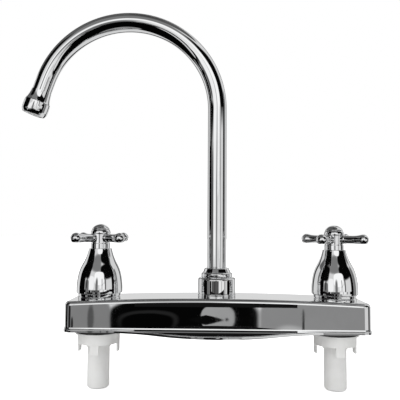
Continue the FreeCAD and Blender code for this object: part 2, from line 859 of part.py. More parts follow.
def spout_nut():
    """Stepped nut that traps the flange of the spout on the hub."""
    shoulder_round = size["nut_shoulder_round"]
    step_round = size["nut_step_round"]
    edge_round = size["nut_edge_round"]
    body_top = size["nut_height"]
    step_top = body_top + size["nut_step_height"]
    top = step_top + size["nut_top_height"]
    thread = size["hub_neck_radius"] + size["seat_fit"] * 3
    shoulder = nut_shoulder - nut_base
    body = size["nut_radius"]
    step = size["nut_step_radius"]
    crown = size["nut_crown_radius"]
    corners = [
        (thread, 0.0),
        (body, 0.0),
        (body, body_top - shoulder_round),
        (body - shoulder_round, body_top),
        (step - edge_round, body_top),
        (step, body_top + edge_round),
        (step, step_top - step_round),
        (step - step_round, step_top),
        (size["nut_top_radius"] - edge_round, step_top),
        (crown, top - edge_round),
        (crown - edge_round, top),
        (nut_bore, top),
        (nut_bore, shoulder),
        (thread, shoulder),
    ]
    arcs = {2: shoulder_round, 4: edge_round, 6: step_round, 9: edge_round}
    turned("spout_nut", corners, arcs, z=nut_base)


def glide_washer():
    inner = hub_socket
    outer = size["flange_radius"]
    turned("glide_washer", ring_corners(inner, outer, 0.0, size["glide_height"]), z=hub_top)


def spout_tail():
    """Brass tail with a flange and two seal grooves, pressed on the tube."""
    seat = size["spout_radius"] + size["seat_fit"]
    stop = size["spout_radius"] - size["spout_wall"]
    outer = size["tail_radius"]
    height = flange_base - tail_base
    top = height + size["flange_height"]
    groove = outer - size["seal_section"] * 2
    half = size["seal_section"] * 1.2
    levels = seal_levels()
    corners = [(stop, 0.0), (outer, 0.0)]
    for level in levels:
        corners += [
            (outer, level - half), (groove, level - half), (groove, level + half), (outer, level + half)
        ]
    corners += [
        (outer, height),
        (size["flange_radius"], height),
        (size["flange_radius"], top),
        (seat, top),
        (seat, size["tip_socket"] / 2),
        (stop, size["tip_socket"] / 2),
    ]
    turned("spout_tail", corners, z=tail_base)


def seal_levels():
    return [size["tail_depth"] * 0.25, size["tail_depth"] * 0.55]


def spout_seals():
    """Two rubber rings in the grooves of the tail, as one group."""
    cord = size["seal_section"]
    centre = size["tail_radius"] - cord * 0.95
    rings = []
    for index, level in enumerate(seal_levels(), start=1):
        ring = doc.addObject("Part::Torus", f"spout_seal_{index}")
        bind(ring, "Radius1", centre)
        bind(ring, "Radius2", cord)
        place(ring, z=tail_base + level)
        rings.append(ring)
    group = doc.addObject("Part::Compound", "spout_seals")
    group.Links = rings
    keep(group, "spout_seals")


def tube_spine(body):
    """Path of the gooseneck: up, round the bend and a short run down."""
    sketch = new_sketch(body, "spout_path", "XZ_Plane")
    low = tail_base + size["tip_socket"] / 2
    radius = size["arc_radius"]
    level = size["arc_level"]
    end_x = -(radius + radius * cosine(180 - size["arc_sweep"]))
    end_z = level + radius * sine(180 - size["arc_sweep"])
    start = Vector(0, number(low), 0)
    bend = Vector(0, number(level), 0)
    last = Vector(number(end_x), number(end_z), 0)
    tip = Vector(number(spout_end_x), number(spout_end_z), 0)
    sketch.addGeometry(Part.LineSegment(start, bend), False)
    centre = Vector(-number(radius), number(level), 0)
    arc = Part.ArcOfCircle(
        Part.Circle(centre, Vector(0, 0, 1), number(radius)), 0.0, math.radians(number(size["arc_sweep"]))
    )
    sketch.addGeometry(arc, False)
    sketch.addGeometry(Part.LineSegment(last, tip), False)
    sketch.addConstraint(Sketcher.Constraint("Coincident", 0, 2, 1, 1))
    sketch.addConstraint(Sketcher.Constraint("Coincident", 1, 2, 2, 1))
    pin_point(sketch, 0, 1, (0.0, low))
    pin_point(sketch, 0, 2, (0.0, level))
    pin_point(sketch, 2, 1, (end_x, end_z))
    hold(sketch, Sketcher.Constraint("Radius", 1, number(radius)), radius)
    pin_point(sketch, 2, 2, (spout_end_x, spout_end_z))
    return sketch, low


def spout_tube():
    """Bent gooseneck tube, swept along its path."""
    body = new_body("spout_tube")
    path, low = tube_spine(body)
    section = new_sketch(body, "spout_section", "XY_Plane")
    section.AttachmentOffset = Placement(Vector(0, 0, number(low)), Rotation())
    bind(section, "AttachmentOffset.Base.z", low)
    circle(section, 0.0, 0.0, size["spout_radius"])
    circle(section, 0.0, 0.0, size["spout_radius"] - size["spout_wall"])
    pipe = body.newObject("PartDesign::AdditivePipe", "spout_bend")
    pipe.Profile = section
    pipe.Spine = (path, ["Edge1", "Edge2", "Edge3"])
    keep(body, "spout_tube")


def along_outlet(distance):
    """A point on the outlet's axis, beyond the end of the tube."""
    tilt = 180 - size["arc_sweep"]
    return spout_end_x - distance * sine(tilt), spout_end_z - distance * cosine(tilt)


def outlet_piece(name, corners, arcs, distance):
    """A turned piece on the outlet's axis, its own +Z pointing out of the spout."""
    x, z = along_outlet(distance)
    return turned(name, corners, arcs, x=x, z=z, turn=-size["arc_sweep"], axis=Vector(0, 1, 0))


def spout_tip():
    """Flared end of the spout, with the thread that holds the aerator."""
    socket = size["tip_socket"]
    seat = size["spout_radius"] + size["seat_fit"]
    bore = size["spout_radius"] - size["spout_wall"]
    flare = size["tip_length"]
    edge = size["spout_radius"] + size["free_fit"]
    thread = size["outlet_thread"] - size["seat_fit"]
    rim = size["outlet_radius"] - size["free_fit"]
    depth = size["outlet_length"] * 0.5
    curve = (flare * flare + (rim - edge) * (rim - edge)) / ((rim - edge) * 2.0)
    corners = [
        (seat, 0.0),
        (edge, 0.0),
        (rim, flare),
        (thread, flare),
        (thread, flare + depth),
        (bore, flare + depth),
        (bore, socket),
        (seat, socket),
    ]
    outlet_piece("spout_tip", corners, {1: -curve}, -socket)


def aerator_start():
    return size["tip_length"] - size["tip_socket"] + size["seat_fit"]


def aerator_housing():
    """Threaded shell of the aerator, slightly bulged, with a bevelled mouth."""
    length = size["outlet_length"]
    bevel = size["outlet_bevel"]
    outer = size["outlet_radius"]
    thread = size["outlet_thread"] + size["seat_fit"]
    lip = size["outlet_mouth"]
    shelf = length - bevel * 0.8
    bulge = size["running_fit"] * 3
    side = (length - bevel * 2) / 2
    curve = (side * side + bulge * bulge) / (bulge * 2.0)
    corners = [
        (thread, 0.0),
        (outer - bulge, 0.0),
        (outer - bulge, length - bevel * 2),
        (outer - bevel, length),
        (lip, length),
        (lip, shelf),
        (thread, shelf),
    ]
    arcs = {1: curve, 2: bevel * 2.4}
    outlet_piece("aerator_housing", corners, arcs, aerator_start())


def aerator_stack():
    """Levels inside the housing: end of the thread, top of the insert and its shelf."""
    thread_end = size["outlet_length"] * 0.5
    washer_end = thread_end + size["outlet_bevel"]
    shelf = size["outlet_length"] - size["outlet_bevel"] * 0.8
    return thread_end, washer_end, shelf


def aerator_washer():
    thread_end, washer_end, _ = aerator_stack()
    inner = size["outlet_mouth"] - size["outlet_bevel"]
    corners = ring_corners(inner, size["outlet_thread"], thread_end, washer_end)
    outlet_piece("aerator_washer", corners, None, aerator_start())


def aerator_insert():
    """Moulded insert that breaks up the stream: a cup with a ring of holes."""
    _, washer_end, shelf = aerator_stack()
    x, z = along_outlet(aerator_start())
    body = new_body("aerator_insert")
    outer = size["outlet_thread"]
    turned_feature(body, "insert_cup", disc_corners(outer, washer_end, shelf))
    hole = size["outlet_mouth"] / 8
    length = size["outlet_length"]
    ring_hole = rod(body, "insert_hole", hole, length, x=size["outlet_mouth"] * 0.62, cut=True)
    pattern_round(body, "insert_holes", [ring_hole], size["screen_holes"])
    place(body, x=x, z=z, turn=-size["arc_sweep"], axis=Vector(0, 1, 0))
    keep(body, "aerator_insert")


# ---------------------------------------------------------------- handles


def rest_turn(side):
    return size["left_turn"] if side == LEFT else size["right_turn"]


def hub_outline():
    """Corners and arcs of the cross handle's hub, as (radius, level)."""
    stem = size["hub_stem_radius"]
    waist = stem - size["hub_waist"]
    slope = size["hub_cove"]
    cup = stem - size["hub_cup_wall"]
    cup_top = size["hub_cup_depth"]
    bead = size["hub_bead_radius"]
    top = size["hub_height"]
    bead_round = size["bead_curve"]
    seat = size["cap_radius"]
    arms = size["arm_level"]
    plug = plug_radius() + size["seat_fit"]
    web_top = screw_seat()
    web_low = web_top - size["handle_web"]
    spline = size["stem_tip_radius"] + size["seat_fit"]
    cove = arms - size["arm_ridge_radius"] - slope
    bead_low = arms + size["arm_ridge_radius"] - slope / 2
    bead_high = top - root(bead_round * bead_round - (bead_round - bead + seat) * (bead_round - bead + seat))
    corners = [
        (cup, 0.0),
        (stem, 0.0),
        (stem, cove - slope),
        (waist, cove),
        (waist, bead_low),
        (bead, bead_low + slope),
        (bead, bead_high),
        (seat, top),
        (plug, top),
        (plug, web_top),
        (size["screw_radius"] + size["free_fit"], web_top),
        (size["screw_radius"] + size["free_fit"], web_low),
        (spline, web_low),
        (spline, cup_top),
        (cup, cup_top),
    ]
    return corners, {6: bead_round}


def plug_radius():
    return size["cap_radius"] - size["cap_shoulder"]


def screw_seat():
    """Level of the screw head's seat above the foot of the hub."""
    return size["hub_height"] - size["cap_plug_depth"] - size["screw_head_height"] - size["free_fit"]


def arm_outline():
    """Half outline of one arm along its axis, as (distance from the hub axis, radius)."""
    neck = size["arm_neck_radius"]
    ridge = size["arm_ridge_radius"]
    head = size["arm_head_radius"]
    inner_end = size["hub_stem_radius"] - size["arm_root"]
    ridge_end = size["hub_stem_radius"] + size["arm_ridge_length"]
    start = size["arm_head_start"]
    centre = size["arm_head_centre"]
    run = centre - start
    hollow = (run * run + neck * neck - head * head) / ((head - neck) * 2.0)
    share = head / (hollow + head)
    corners = [
        (inner_end, 0.0),
        (centre + head, 0.0),
        (centre - run * share, (neck + hollow) * share),
        (start, neck),
        (ridge_end, neck),
        (ridge_end - size["arm_ridge_slope"], ridge),
        (inner_end, ridge),
    ]
    return corners, {1: head, 2: -hollow}


def cross_handle(side):
    """Die-cast cross: a turned hub and four arms with drop-shaped heads."""
    name = f"{SIDE_NAME[side]}_cross_handle"
    body = new_body(name)
    corners, arcs = hub_outline()
    turned_feature(body, f"{name}_hub", corners, arcs)
    sketch = new_sketch(body, f"{name}_arm_outline", "XZ_Plane")
    sketch.AttachmentOffset = Placement(Vector(0, number(size["arm_level"]), 0), Rotation())
    bind(sketch, "AttachmentOffset.Base.y", size["arm_level"])
    corners, arcs = arm_outline()
    outline(sketch, corners, arcs)
    arm = body.newObject("PartDesign::Revolution", f"{name}_arm")
    arm.Profile = sketch
    arm.ReferenceAxis = (sketch, ["H_Axis"])
    arm.Angle = 360
    pattern_round(body, f"{name}_arms", [arm], size["arm_count"])
    flat_top = size["arm_level"] - size["arm_flat"]
    deep = size["arm_head_radius"]
    trim = block(
        body, f"{name}_arm_flat",
        size["arm_head_centre"] + deep - size["arm_head_start"], deep * 2.4, deep,
        size["arm_head_start"], -deep * 1.2, flat_top - deep, cut=True,
    )
    pattern_round(body, f"{name}_arm_flats", [trim], size["arm_count"])
    place(body, x=handle_x[side], z=handle_base, turn=rest_turn(side))
    keep(body, name)


def handle_cap(side):
    """Domed button that covers the handle screw."""
    radius = size["cap_radius"]
    height = size["cap_height"]
    top = size["hub_height"]
    plug = plug_radius()
    inside = plug - size["cap_plug_wall"]
    depth = size["cap_plug_depth"]
    dome = (radius * radius + height * height) / (height * 2.0)
    corners = [
        (inside, -depth),
        (plug, -depth),
        (plug, 0.0),
        (radius, 0.0),
        (0.0, height),
        (0.0, height - size["cap_wall"]),
        (inside, depth / 2),
    ]
    turned(
        f"{SIDE_NAME[side]}_handle_cap", corners, {3: dome},
        x=handle_x[side], z=handle_base + top, turn=rest_turn(side),
    )


def handle_screw(side):
    head = size["screw_head_height"]
    shank = size["screw_radius"]
    low = -size["screw_length"]
    corners = [
        (0.0, low),
        (shank, low),
        (shank, 0.0),
        (size["screw_head_radius"], 0.0),
        (size["screw_head_radius"], head * 0.5),
        (size["screw_head_radius"] * 0.5, head),
        (0.0, head),
    ]
    turned(f"{SIDE_NAME[side]}_handle_screw", corners, x=handle_x[side], z=handle_base + screw_seat())


def stem(side):
    """Turning stem: foot on the moving disc, seal groove and splined tip."""
    name = f"{SIDE_NAME[side]}_stem"
    body = new_body(name)
    foot = size["disc_radius"] - size["seat_fit"]
    shaft = size["stem_radius"]
    tip = size["stem_tip_radius"]
    top = handle_base + screw_seat() - size["handle_web"] - size["free_fit"] - stem_base
    shoulder = cartridge_top - stem_base
    cord = size["stem_seal_section"]
    groove = shaft - cord * 2
    level = stem_seal_level()
    bore = size["screw_radius"] + size["seat_fit"]
    corners = [
        (0.0, 0.0),
        (foot, 0.0),
        (foot, size["foot_height"]),
        (shaft, size["foot_height"]),
        (shaft, level - cord * 1.2),
        (groove, level - cord * 1.2),
        (groove, level + cord * 1.2),
        (shaft, level + cord * 1.2),
        (shaft, shoulder),
        (tip, shoulder + 0.7),
        (tip, top),
        (bore, top),
        (bore, top - size["screw_length"]),
        (0.0, top - size["screw_length"]),
    ]
    turned_feature(body, f"{name}_turning", corners)
    place(body, x=handle_x[side], z=stem_base, turn=rest_turn(side))
    keep(body, name)


def stem_seal_level():
    return (neck_top - stem_base) - 4.0


def stem_seal(side):
    name = f"{SIDE_NAME[side]}_stem_seal"
    ring = doc.addObject("Part::Torus", name)
    cord = size["stem_seal_section"]
    bind(ring, "Radius1", size["stem_radius"] - cord * 0.95)
    bind(ring, "Radius2", cord)
    place(ring, x=handle_x[side], z=stem_base + stem_seal_level())
    keep(ring, name)


def turning_disc(side):
    """Ceramic disc with two open notches that uncover the ports as it turns."""
    name = f"{SIDE_NAME[side]}_turning_disc"
    body = new_body(name)
    turned_feature(body, f"{name}_disc", disc_corners(size["disc_radius"], 0.0, size["disc_height"]))
    doc.recompute()
    width = size["port_radius"] * 2.2
    start = size["port_offset"] - size["port_radius"] * 1.1
    notch = block(
        body, f"{name}_notch", size["disc_radius"], width, size["disc_height"] + 2.0,
        start, -width / 2, -1.0, cut=True,
    )
    pattern_round(body, f"{name}_notches", [notch], 2.0)
    place(body, x=handle_x[side], z=turning_disc_base, turn=90.0)
    keep(body, name)


def fixed_disc(side):
    """Ceramic disc with two round ports."""
    name = f"{SIDE_NAME[side]}_fixed_disc"
    body = new_body(name)
    turned_feature(body, f"{name}_disc", disc_corners(size["disc_radius"], 0.0, size["disc_height"]))
    doc.recompute()
    port = rod(
        body, f"{name}_port", size["port_radius"], size["disc_height"] * 2,
        x=size["port_offset"], z=-size["disc_height"] / 2, cut=True,
    )
    pattern_round(body, f"{name}_ports", [port], 2.0)
    place(body, x=handle_x[side], z=fixed_disc_base)
    keep(body, name)


def seat_seal(side):
    """Rubber seat that seals the fixed disc to the floor of the chamber."""
    inner = size["shank_bore"]
    outer = size["disc_radius"]
    corners = ring_corners(inner, outer, 0.0, size["seal_height"])
    turned(f"{SIDE_NAME[side]}_seat_seal", corners, x=handle_x[side], z=size["chamber_floor"])


def cartridge(side):
    """Brass sleeve that holds the discs, with a hexagon to screw it in."""
    name = f"{SIDE_NAME[side]}_cartridge"
    body = new_body(name)
    outer = size["cartridge_radius"]
    floor = size["chamber_floor"]
    top = neck_top - floor
    high = cartridge_top - floor
    bore_top = disc_bore_top - floor
    stem_bore = size["stem_radius"] + size["running_fit"]
    corners = [
        (size["cartridge_bore"], 0.0),
        (outer, 0.0),
        (outer, top),
        (stem_bore, top),
        (stem_bore, bore_top),
        (size["cartridge_bore"], bore_top),
    ]
    turned_feature(body, f"{name}_sleeve", corners)
    sketch = new_sketch(body, f"{name}_hexagon", "XY_Plane")
    sketch.AttachmentOffset = Placement(Vector(0, 0, number(top)), Rotation())
    bind(sketch, "AttachmentOffset.Base.z", top)
    half = size["hex_flats"] / 2
    reach = size["hex_flats"] / math.sqrt(3)
    quarter = reach / 2
    outline(
        sketch,
        [(reach, 0.0), (quarter, half), (-quarter, half), (-reach, 0.0), (-quarter, -half), (quarter, -half)],
    )
    circle(sketch, 0.0, 0.0, stem_bore)
    hexagon = body.newObject("PartDesign::Pad", f"{name}_hexagon_pad")
    hexagon.Profile = sketch
    bind(hexagon, "Length", high - top)
    window_z = fixed_disc_base + size["disc_height"] * 1.6 - floor
    rod(
        body, f"{name}_windows", size["disc_height"] * 0.55, outer * 2 + 2.0,
        x=-outer - 1.0, z=window_z, axis="X", cut=True,
    )
    place(body, x=handle_x[side], z=floor)
    keep(body, name)


# ---------------------------------------------------------------- assembly and export


def build():
    base_cover()
    spout_hub()
    spout_ring()
    glide_washer()
    spout_nut()
    spout_tube()
    spout_tail()
    spout_seals()
    spout_tip()
    aerator_housing()
    aerator_washer()
    aerator_insert()
    for side in (LEFT, RIGHT):
        valve_body(side)
        cross_tube(side)
        mount_washer(side)
        mounting_nut(side)
        bell_ring(side)
        bell(side)
        cartridge(side)
        seat_seal(side)
        fixed_disc(side)
        turning_disc(side)
        stem(side)
        stem_seal(side)
        cross_handle(side)
        handle_screw(side)
        handle_cap(side)
    doc.recompute()


def faults():
    """Names of objects that failed to compute, or whose solids are not sound."""
    found = []
    for item in doc.Objects:
        if "Invalid" in item.State or "Error" in item.State:
            found.append(item.Label)
    for node in nodes:
        if node.Shape.isNull() or not node.Shape.isValid() or node.Shape.Volume <= 0:
            found.append(node.Label)
    return found


def main():
    build()
    failed = faults()
    if failed:
        print("failed:", ", ".join(failed))
        sys.exit(1)
    os.makedirs("parts", exist_ok=True)
    for node in nodes:
        node.Shape.exportStep(f"parts/{node.Label}.step")
        print(f"{node.Label}: {len(node.Shape.Solids)} solid, {node.Shape.Volume:.1f} mm3")
    print(len(nodes), "nodes")


main()
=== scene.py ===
import math

import bmesh
import bpy
from mathutils import Matrix, Vector


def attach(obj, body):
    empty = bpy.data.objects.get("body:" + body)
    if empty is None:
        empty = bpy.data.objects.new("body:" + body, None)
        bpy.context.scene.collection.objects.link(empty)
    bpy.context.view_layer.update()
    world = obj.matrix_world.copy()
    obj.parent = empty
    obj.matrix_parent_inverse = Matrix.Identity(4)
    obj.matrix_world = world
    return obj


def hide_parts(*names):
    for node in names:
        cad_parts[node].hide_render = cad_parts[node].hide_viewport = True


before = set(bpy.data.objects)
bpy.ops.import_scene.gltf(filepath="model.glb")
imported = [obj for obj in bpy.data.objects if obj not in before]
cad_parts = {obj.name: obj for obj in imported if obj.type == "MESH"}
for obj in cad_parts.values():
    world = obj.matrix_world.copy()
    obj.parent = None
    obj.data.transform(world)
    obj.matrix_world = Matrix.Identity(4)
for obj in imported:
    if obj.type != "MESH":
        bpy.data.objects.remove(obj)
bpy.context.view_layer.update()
mm = 0.001
print("frame loaded:", len(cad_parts), "nodes")

sides = {"left": -101.6, "right": 101.6}  # middle of each handle
restTurn = {"left": 50.0, "right": -37.0}  # how far each cross stands turned at rest, in degrees
outlineGap = 1e-6  # points nearer than this, in metres, are one
pieceGap = 2e-6


def only(items, kind):
    return [item for item in items if isinstance(item, kind)]


def turned(steps, segments=96):
    # An outline spun about Z. ("to", radius, level) draws a line to a point,
    # ("arc", centre radius, centre level, degrees, cuts) a round stretch.
    bm = bmesh.new()
    last = bm.verts.new((steps[0][1] * mm, 0.0, steps[0][2] * mm))
    for kind, radius, level, *bend in steps[1:]:
        place = (radius * mm, 0.0, level * mm)
        if kind == "to":
            corner = bm.verts.new(place)
            bm.edges.new((last, corner))
            last = corner
        else:
            degrees, cuts = bend
            made = bmesh.ops.spin(
                bm, geom=[last], cent=place, axis=(0.0, 1.0, 0.0), angle=math.radians(-degrees),
                steps=cuts, use_duplicate=False,
            )
            last = only(made["geom_last"], bmesh.types.BMVert)[0]
    bmesh.ops.spin(
        bm, geom=bm.verts[:] + bm.edges[:], cent=(0.0, 0.0, 0.0), axis=(0.0, 0.0, 1.0), angle=math.tau,
        steps=segments, use_merge=True,
    )
    bmesh.ops.remove_doubles(bm, verts=bm.verts[:], dist=outlineGap)
    return bm


def tangentArcs(radius, level, bends):
    # Arcs that follow on without a corner, from an upright start; a minus bend hollows the outline.
    heading = 0.0
    steps = []
    for bend, degrees, cuts in bends:
        centreRadius = radius - bend * math.cos(heading)
        centreLevel = level - bend * math.sin(heading)
        steps.append(("arc", centreRadius, centreLevel, degrees, cuts))
        heading += math.radians(degrees)
        radius = centreRadius + bend * math.cos(heading)
        level = centreLevel + bend * math.sin(heading)
    return steps


def shift(bm, x=0.0, z=0.0, turn=0.0, tilt=0.0):
    # Tilted about Y, then turned about Z, then moved; in millimetres and degrees.
    place = (
        Matrix.Translation((x * mm, 0.0, z * mm))
        @ Matrix.Rotation(math.radians(turn), 4, "Z")
        @ Matrix.Rotation(math.radians(tilt), 4, "Y")
    )
    bmesh.ops.transform(bm, matrix=place, verts=bm.verts[:])


def joinInto(bm, part):
    spare = bpy.data.meshes.new("spare")
    part.to_mesh(spare)
    part.free()
    bm.from_mesh(spare)
    bpy.data.meshes.remove(spare)


def newObject(name, bm, material):
    mesh = bpy.data.meshes.new(name)
    bm.to_mesh(mesh)
    bm.free()
    mesh.materials.append(material)
    made = bpy.data.objects.new(name, mesh)
    bpy.context.scene.collection.objects.link(made)
    return made


def finishPiece(bm, name, body, node, material, sharp=32.0):
    # Closes and shades a new piece and hangs it on its body, in place of the CAD node it stands for.
    bmesh.ops.remove_doubles(bm, verts=bm.verts[:], dist=pieceGap)
    bmesh.ops.recalc_face_normals(bm, faces=bm.faces[:])
    for face in bm.faces:
        face.smooth = True
    piece = newObject(name, bm, material)
    piece.data.set_sharp_from_angle(angle=math.radians(sharp))
    weigh = piece.modifiers.new("WeightedNormal", "WEIGHTED_NORMAL")
    weigh.keep_sharp = True
    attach(piece, body)
    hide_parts(node)


def dress(node, material):
    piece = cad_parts[node]
    piece.data.materials.clear()
    piece.data.materials.append(material)


def newGroup(name, inputs, outputs):
    group = bpy.data.node_groups.new(name, "ShaderNodeTree")
    for label, kind, value in inputs:
        socket = group.interface.new_socket(name=label, in_out="INPUT", socket_type=kind)
        if value is not None:
            socket.default_value = value
    for label, kind in outputs:
        group.interface.new_socket(name=label, in_out="OUTPUT", socket_type=kind)
    return group, group.nodes.new("NodeGroupInput"), group.nodes.new("NodeGroupOutput")


handling = {
    "blotchDetail": 4.0, "blotchRoughness": 0.6, "blotchFrom": 0.42, "blotchTo": 0.68,
    "hairStretch": (1.0, 1.0, 0.04), "hairDetail": 2.0, "hairFrom": 0.66, "hairTo": 0.74, "hairShare": 0.35,
}


def makeMarksGroup():
    # Soft blotches and fine hairlines, as two masks.
    group, start, end = newGroup(
        "handlingMarks",
        [("Coordinates", "NodeSocketVector", None), ("Blotch Size", "NodeSocketFloat", 30.0),
         ("Hairline Size", "NodeSocketFloat", 400.0)],
        [("Blotches", "NodeSocketFloat"), ("Hairlines", "NodeSocketFloat")],
    )
    nodes, links = group.nodes, group.links
    blotch = nodes.new("ShaderNodeTexNoise")
    blotch.inputs["Detail"].default_value = handling["blotchDetail"]
    blotch.inputs["Roughness"].default_value = handling["blotchRoughness"]
    soften = nodes.new("ShaderNodeMapRange")
    soften.interpolation_type = "SMOOTHSTEP"
    soften.inputs["From Min"].default_value = handling["blotchFrom"]
    soften.inputs["From Max"].default_value = handling["blotchTo"]
    stretch = nodes.new("ShaderNodeMapping")
    stretch.inputs["Scale"].default_value = handling["hairStretch"]
    hair = nodes.new("ShaderNodeTexNoise")
    hair.inputs["Detail"].default_value = handling["hairDetail"]
    thin = nodes.new("ShaderNodeMapRange")
    thin.inputs["From Min"].default_value = handling["hairFrom"]
    thin.inputs["From Max"].default_value = handling["hairTo"]
    links.new(start.outputs["Coordinates"], blotch.inputs["Vector"])
    links.new(start.outputs["Blotch Size"], blotch.inputs["Scale"])
    links.new(blotch.outputs["Fac"], soften.inputs["Value"])
    links.new(soften.outputs["Result"], end.inputs["Blotches"])
    links.new(start.outputs["Coordinates"], stretch.inputs["Vector"])
    links.new(stretch.outputs["Vector"], hair.inputs["Vector"])
    links.new(start.outputs["Hairline Size"], hair.inputs["Scale"])
    links.new(hair.outputs["Fac"], thin.inputs["Value"])
    links.new(thin.outputs["Result"], end.inputs["Hairlines"])
    return group


grainDetail = {"wave": 1.0, "grain": 3.0}


def makeGrainGroup():
    # Fine moulded or cast grain, as a height.
    group, start, end = newGroup(
        "surfaceGrain",
        [("Coordinates", "NodeSocketVector", None), ("Wave Size", "NodeSocketFloat", 60.0),
         ("Grain Size", "NodeSocketFloat", 2500.0), ("Grain Share", "NodeSocketFloat", 0.3)],
        [("Height", "NodeSocketFloat")],
    )
    nodes, links = group.nodes, group.links
    wave = nodes.new("ShaderNodeTexNoise")
    wave.inputs["Detail"].default_value = grainDetail["wave"]
    grain = nodes.new("ShaderNodeTexNoise")
    grain.inputs["Detail"].default_value = grainDetail["grain"]
    blend = nodes.new("ShaderNodeMix")
    links.new(start.outputs["Coordinates"], wave.inputs["Vector"])
    links.new(start.outputs["Wave Size"], wave.inputs["Scale"])
    links.new(start.outputs["Coordinates"], grain.inputs["Vector"])
    links.new(start.outputs["Grain Size"], grain.inputs["Scale"])
    links.new(start.outputs["Grain Share"], blend.inputs["Factor"])
    links.new(wave.outputs["Fac"], blend.inputs["A"])
    links.new(grain.outputs["Fac"], blend.inputs["B"])
    links.new(blend.outputs["Result"], end.inputs["Height"])
    return group


marksGroup = makeMarksGroup()
grainGroup = makeGrainGroup()


def addBump(nodes, links, where, look):
    grain = nodes.new("ShaderNodeGroup")
    grain.node_tree = grainGroup
    grain.inputs["Wave Size"].default_value = look["waveSize"]
    grain.inputs["Grain Size"].default_value = look["grainSize"]
    grain.inputs["Grain Share"].default_value = look["grainShare"]
    bump = nodes.new("ShaderNodeBump")
    bump.inputs["Strength"].default_value = look["bumpStrength"]
    bump.inputs["Distance"].default_value = look["bumpDepth"]
    links.new(where, grain.inputs["Coordinates"])
    links.new(grain.outputs["Height"], bump.inputs["Height"])
    return bump.outputs["Normal"]


def addMarks(nodes, links, where, look):
    marks = nodes.new("ShaderNodeGroup")
    marks.node_tree = marksGroup
    marks.inputs["Blotch Size"].default_value = look["blotchSize"]
    marks.inputs["Hairline Size"].default_value = look["hairlineSize"]
    links.new(where, marks.inputs["Coordinates"])
    return marks


def makeFinish(name, look):
    material = bpy.data.materials.new(name)
    material.use_nodes = True
    nodes, links = material.node_tree.nodes, material.node_tree.links
    shader = nodes["Principled BSDF"]
    shader.inputs["Metallic"].default_value = look["metallic"]
    where = nodes.new("ShaderNodeTexCoord").outputs["Object"]
    links.new(addBump(nodes, links, where, look), shader.inputs["Normal"])
    marks = addMarks(nodes, links, where, look)
    tone = nodes.new("ShaderNodeMix")
    tone.data_type = "RGBA"
    tone.inputs["A"].default_value = (*look["colour"], 1.0)
    tone.inputs["B"].default_value = (*look["markColour"], 1.0)
    links.new(marks.outputs["Blotches"], tone.inputs["Factor"])
    links.new(tone.outputs["Result"], shader.inputs["Base Color"])
    worn = nodes.new("ShaderNodeMath")
    worn.operation = "MULTIPLY_ADD"
    worn.inputs[1].default_value = handling["hairShare"]
    links.new(marks.outputs["Hairlines"], worn.inputs[0])
    links.new(marks.outputs["Blotches"], worn.inputs[2])
    rough = nodes.new("ShaderNodeMapRange")
    rough.inputs["To Min"].default_value, rough.inputs["To Max"].default_value = look["roughness"]
    links.new(worn.outputs["Value"], rough.inputs["Value"])
    links.new(rough.outputs["Result"], shader.inputs["Roughness"])
    return material


chromeLook = {
    "colour": (0.86, 0.865, 0.87), "markColour": (0.82, 0.825, 0.83), "roughness": (0.008, 0.045),
    "metallic": 1.0, "waveSize": 75.0, "grainSize": 900.0, "grainShare": 0.02, "bumpStrength": 0.35,
    "bumpDepth": 0.00012, "blotchSize": 38.0, "hairlineSize": 900.0,
}
plateLook = dict(chromeLook, waveSize=45.0, bumpStrength=0.12, roughness=(0.006, 0.03), blotchSize=24.0)
tubeLook = dict(chromeLook, waveSize=30.0, bumpStrength=0.10, roughness=(0.012, 0.05))
whiteLook = {
    "colour": (0.84, 0.84, 0.83), "markColour": (0.80, 0.80, 0.785), "roughness": (0.42, 0.58),
    "metallic": 0.0, "waveSize": 90.0, "grainSize": 4000.0, "grainShare": 0.5, "bumpStrength": 0.35,
    "bumpDepth": 0.0002, "blotchSize": 60.0, "hairlineSize": 700.0,
}
glowThrough = {"weight": 0.15, "radius": (0.003, 0.003, 0.003)}  # light that soaks into the white moulding
rubberLook = {
    "colour": (0.022, 0.022, 0.023), "markColour": (0.05, 0.05, 0.048), "roughness": (0.62, 0.85),
    "metallic": 0.0, "waveSize": 200.0, "grainSize": 5000.0, "grainShare": 0.7, "bumpStrength": 0.5,
    "bumpDepth": 0.0002, "blotchSize": 110.0, "hairlineSize": 1200.0,
}
brassLook = {
    "colour": (0.70, 0.52, 0.26), "markColour": (0.55, 0.38, 0.18), "roughness": (0.18, 0.42),
    "metallic": 1.0, "waveSize": 60.0, "grainSize": 3000.0, "grainShare": 0.4, "bumpStrength": 0.3,
    "bumpDepth": 0.0001, "blotchSize": 90.0, "hairlineSize": 1400.0,
}
copperLook = dict(brassLook, colour=(0.73, 0.38, 0.25), markColour=(0.50, 0.26, 0.17))
ceramicLook = dict(whiteLook, colour=(0.9, 0.9, 0.88), markColour=(0.86, 0.86, 0.84), roughness=(0.12, 0.22))
acetalLook = dict(whiteLook, colour=(0.78, 0.79, 0.78), markColour=(0.74, 0.75, 0.74), roughness=(0.3, 0.45))
steelLook = dict(brassLook, colour=(0.62, 0.62, 0.62), markColour=(0.5, 0.5, 0.5))

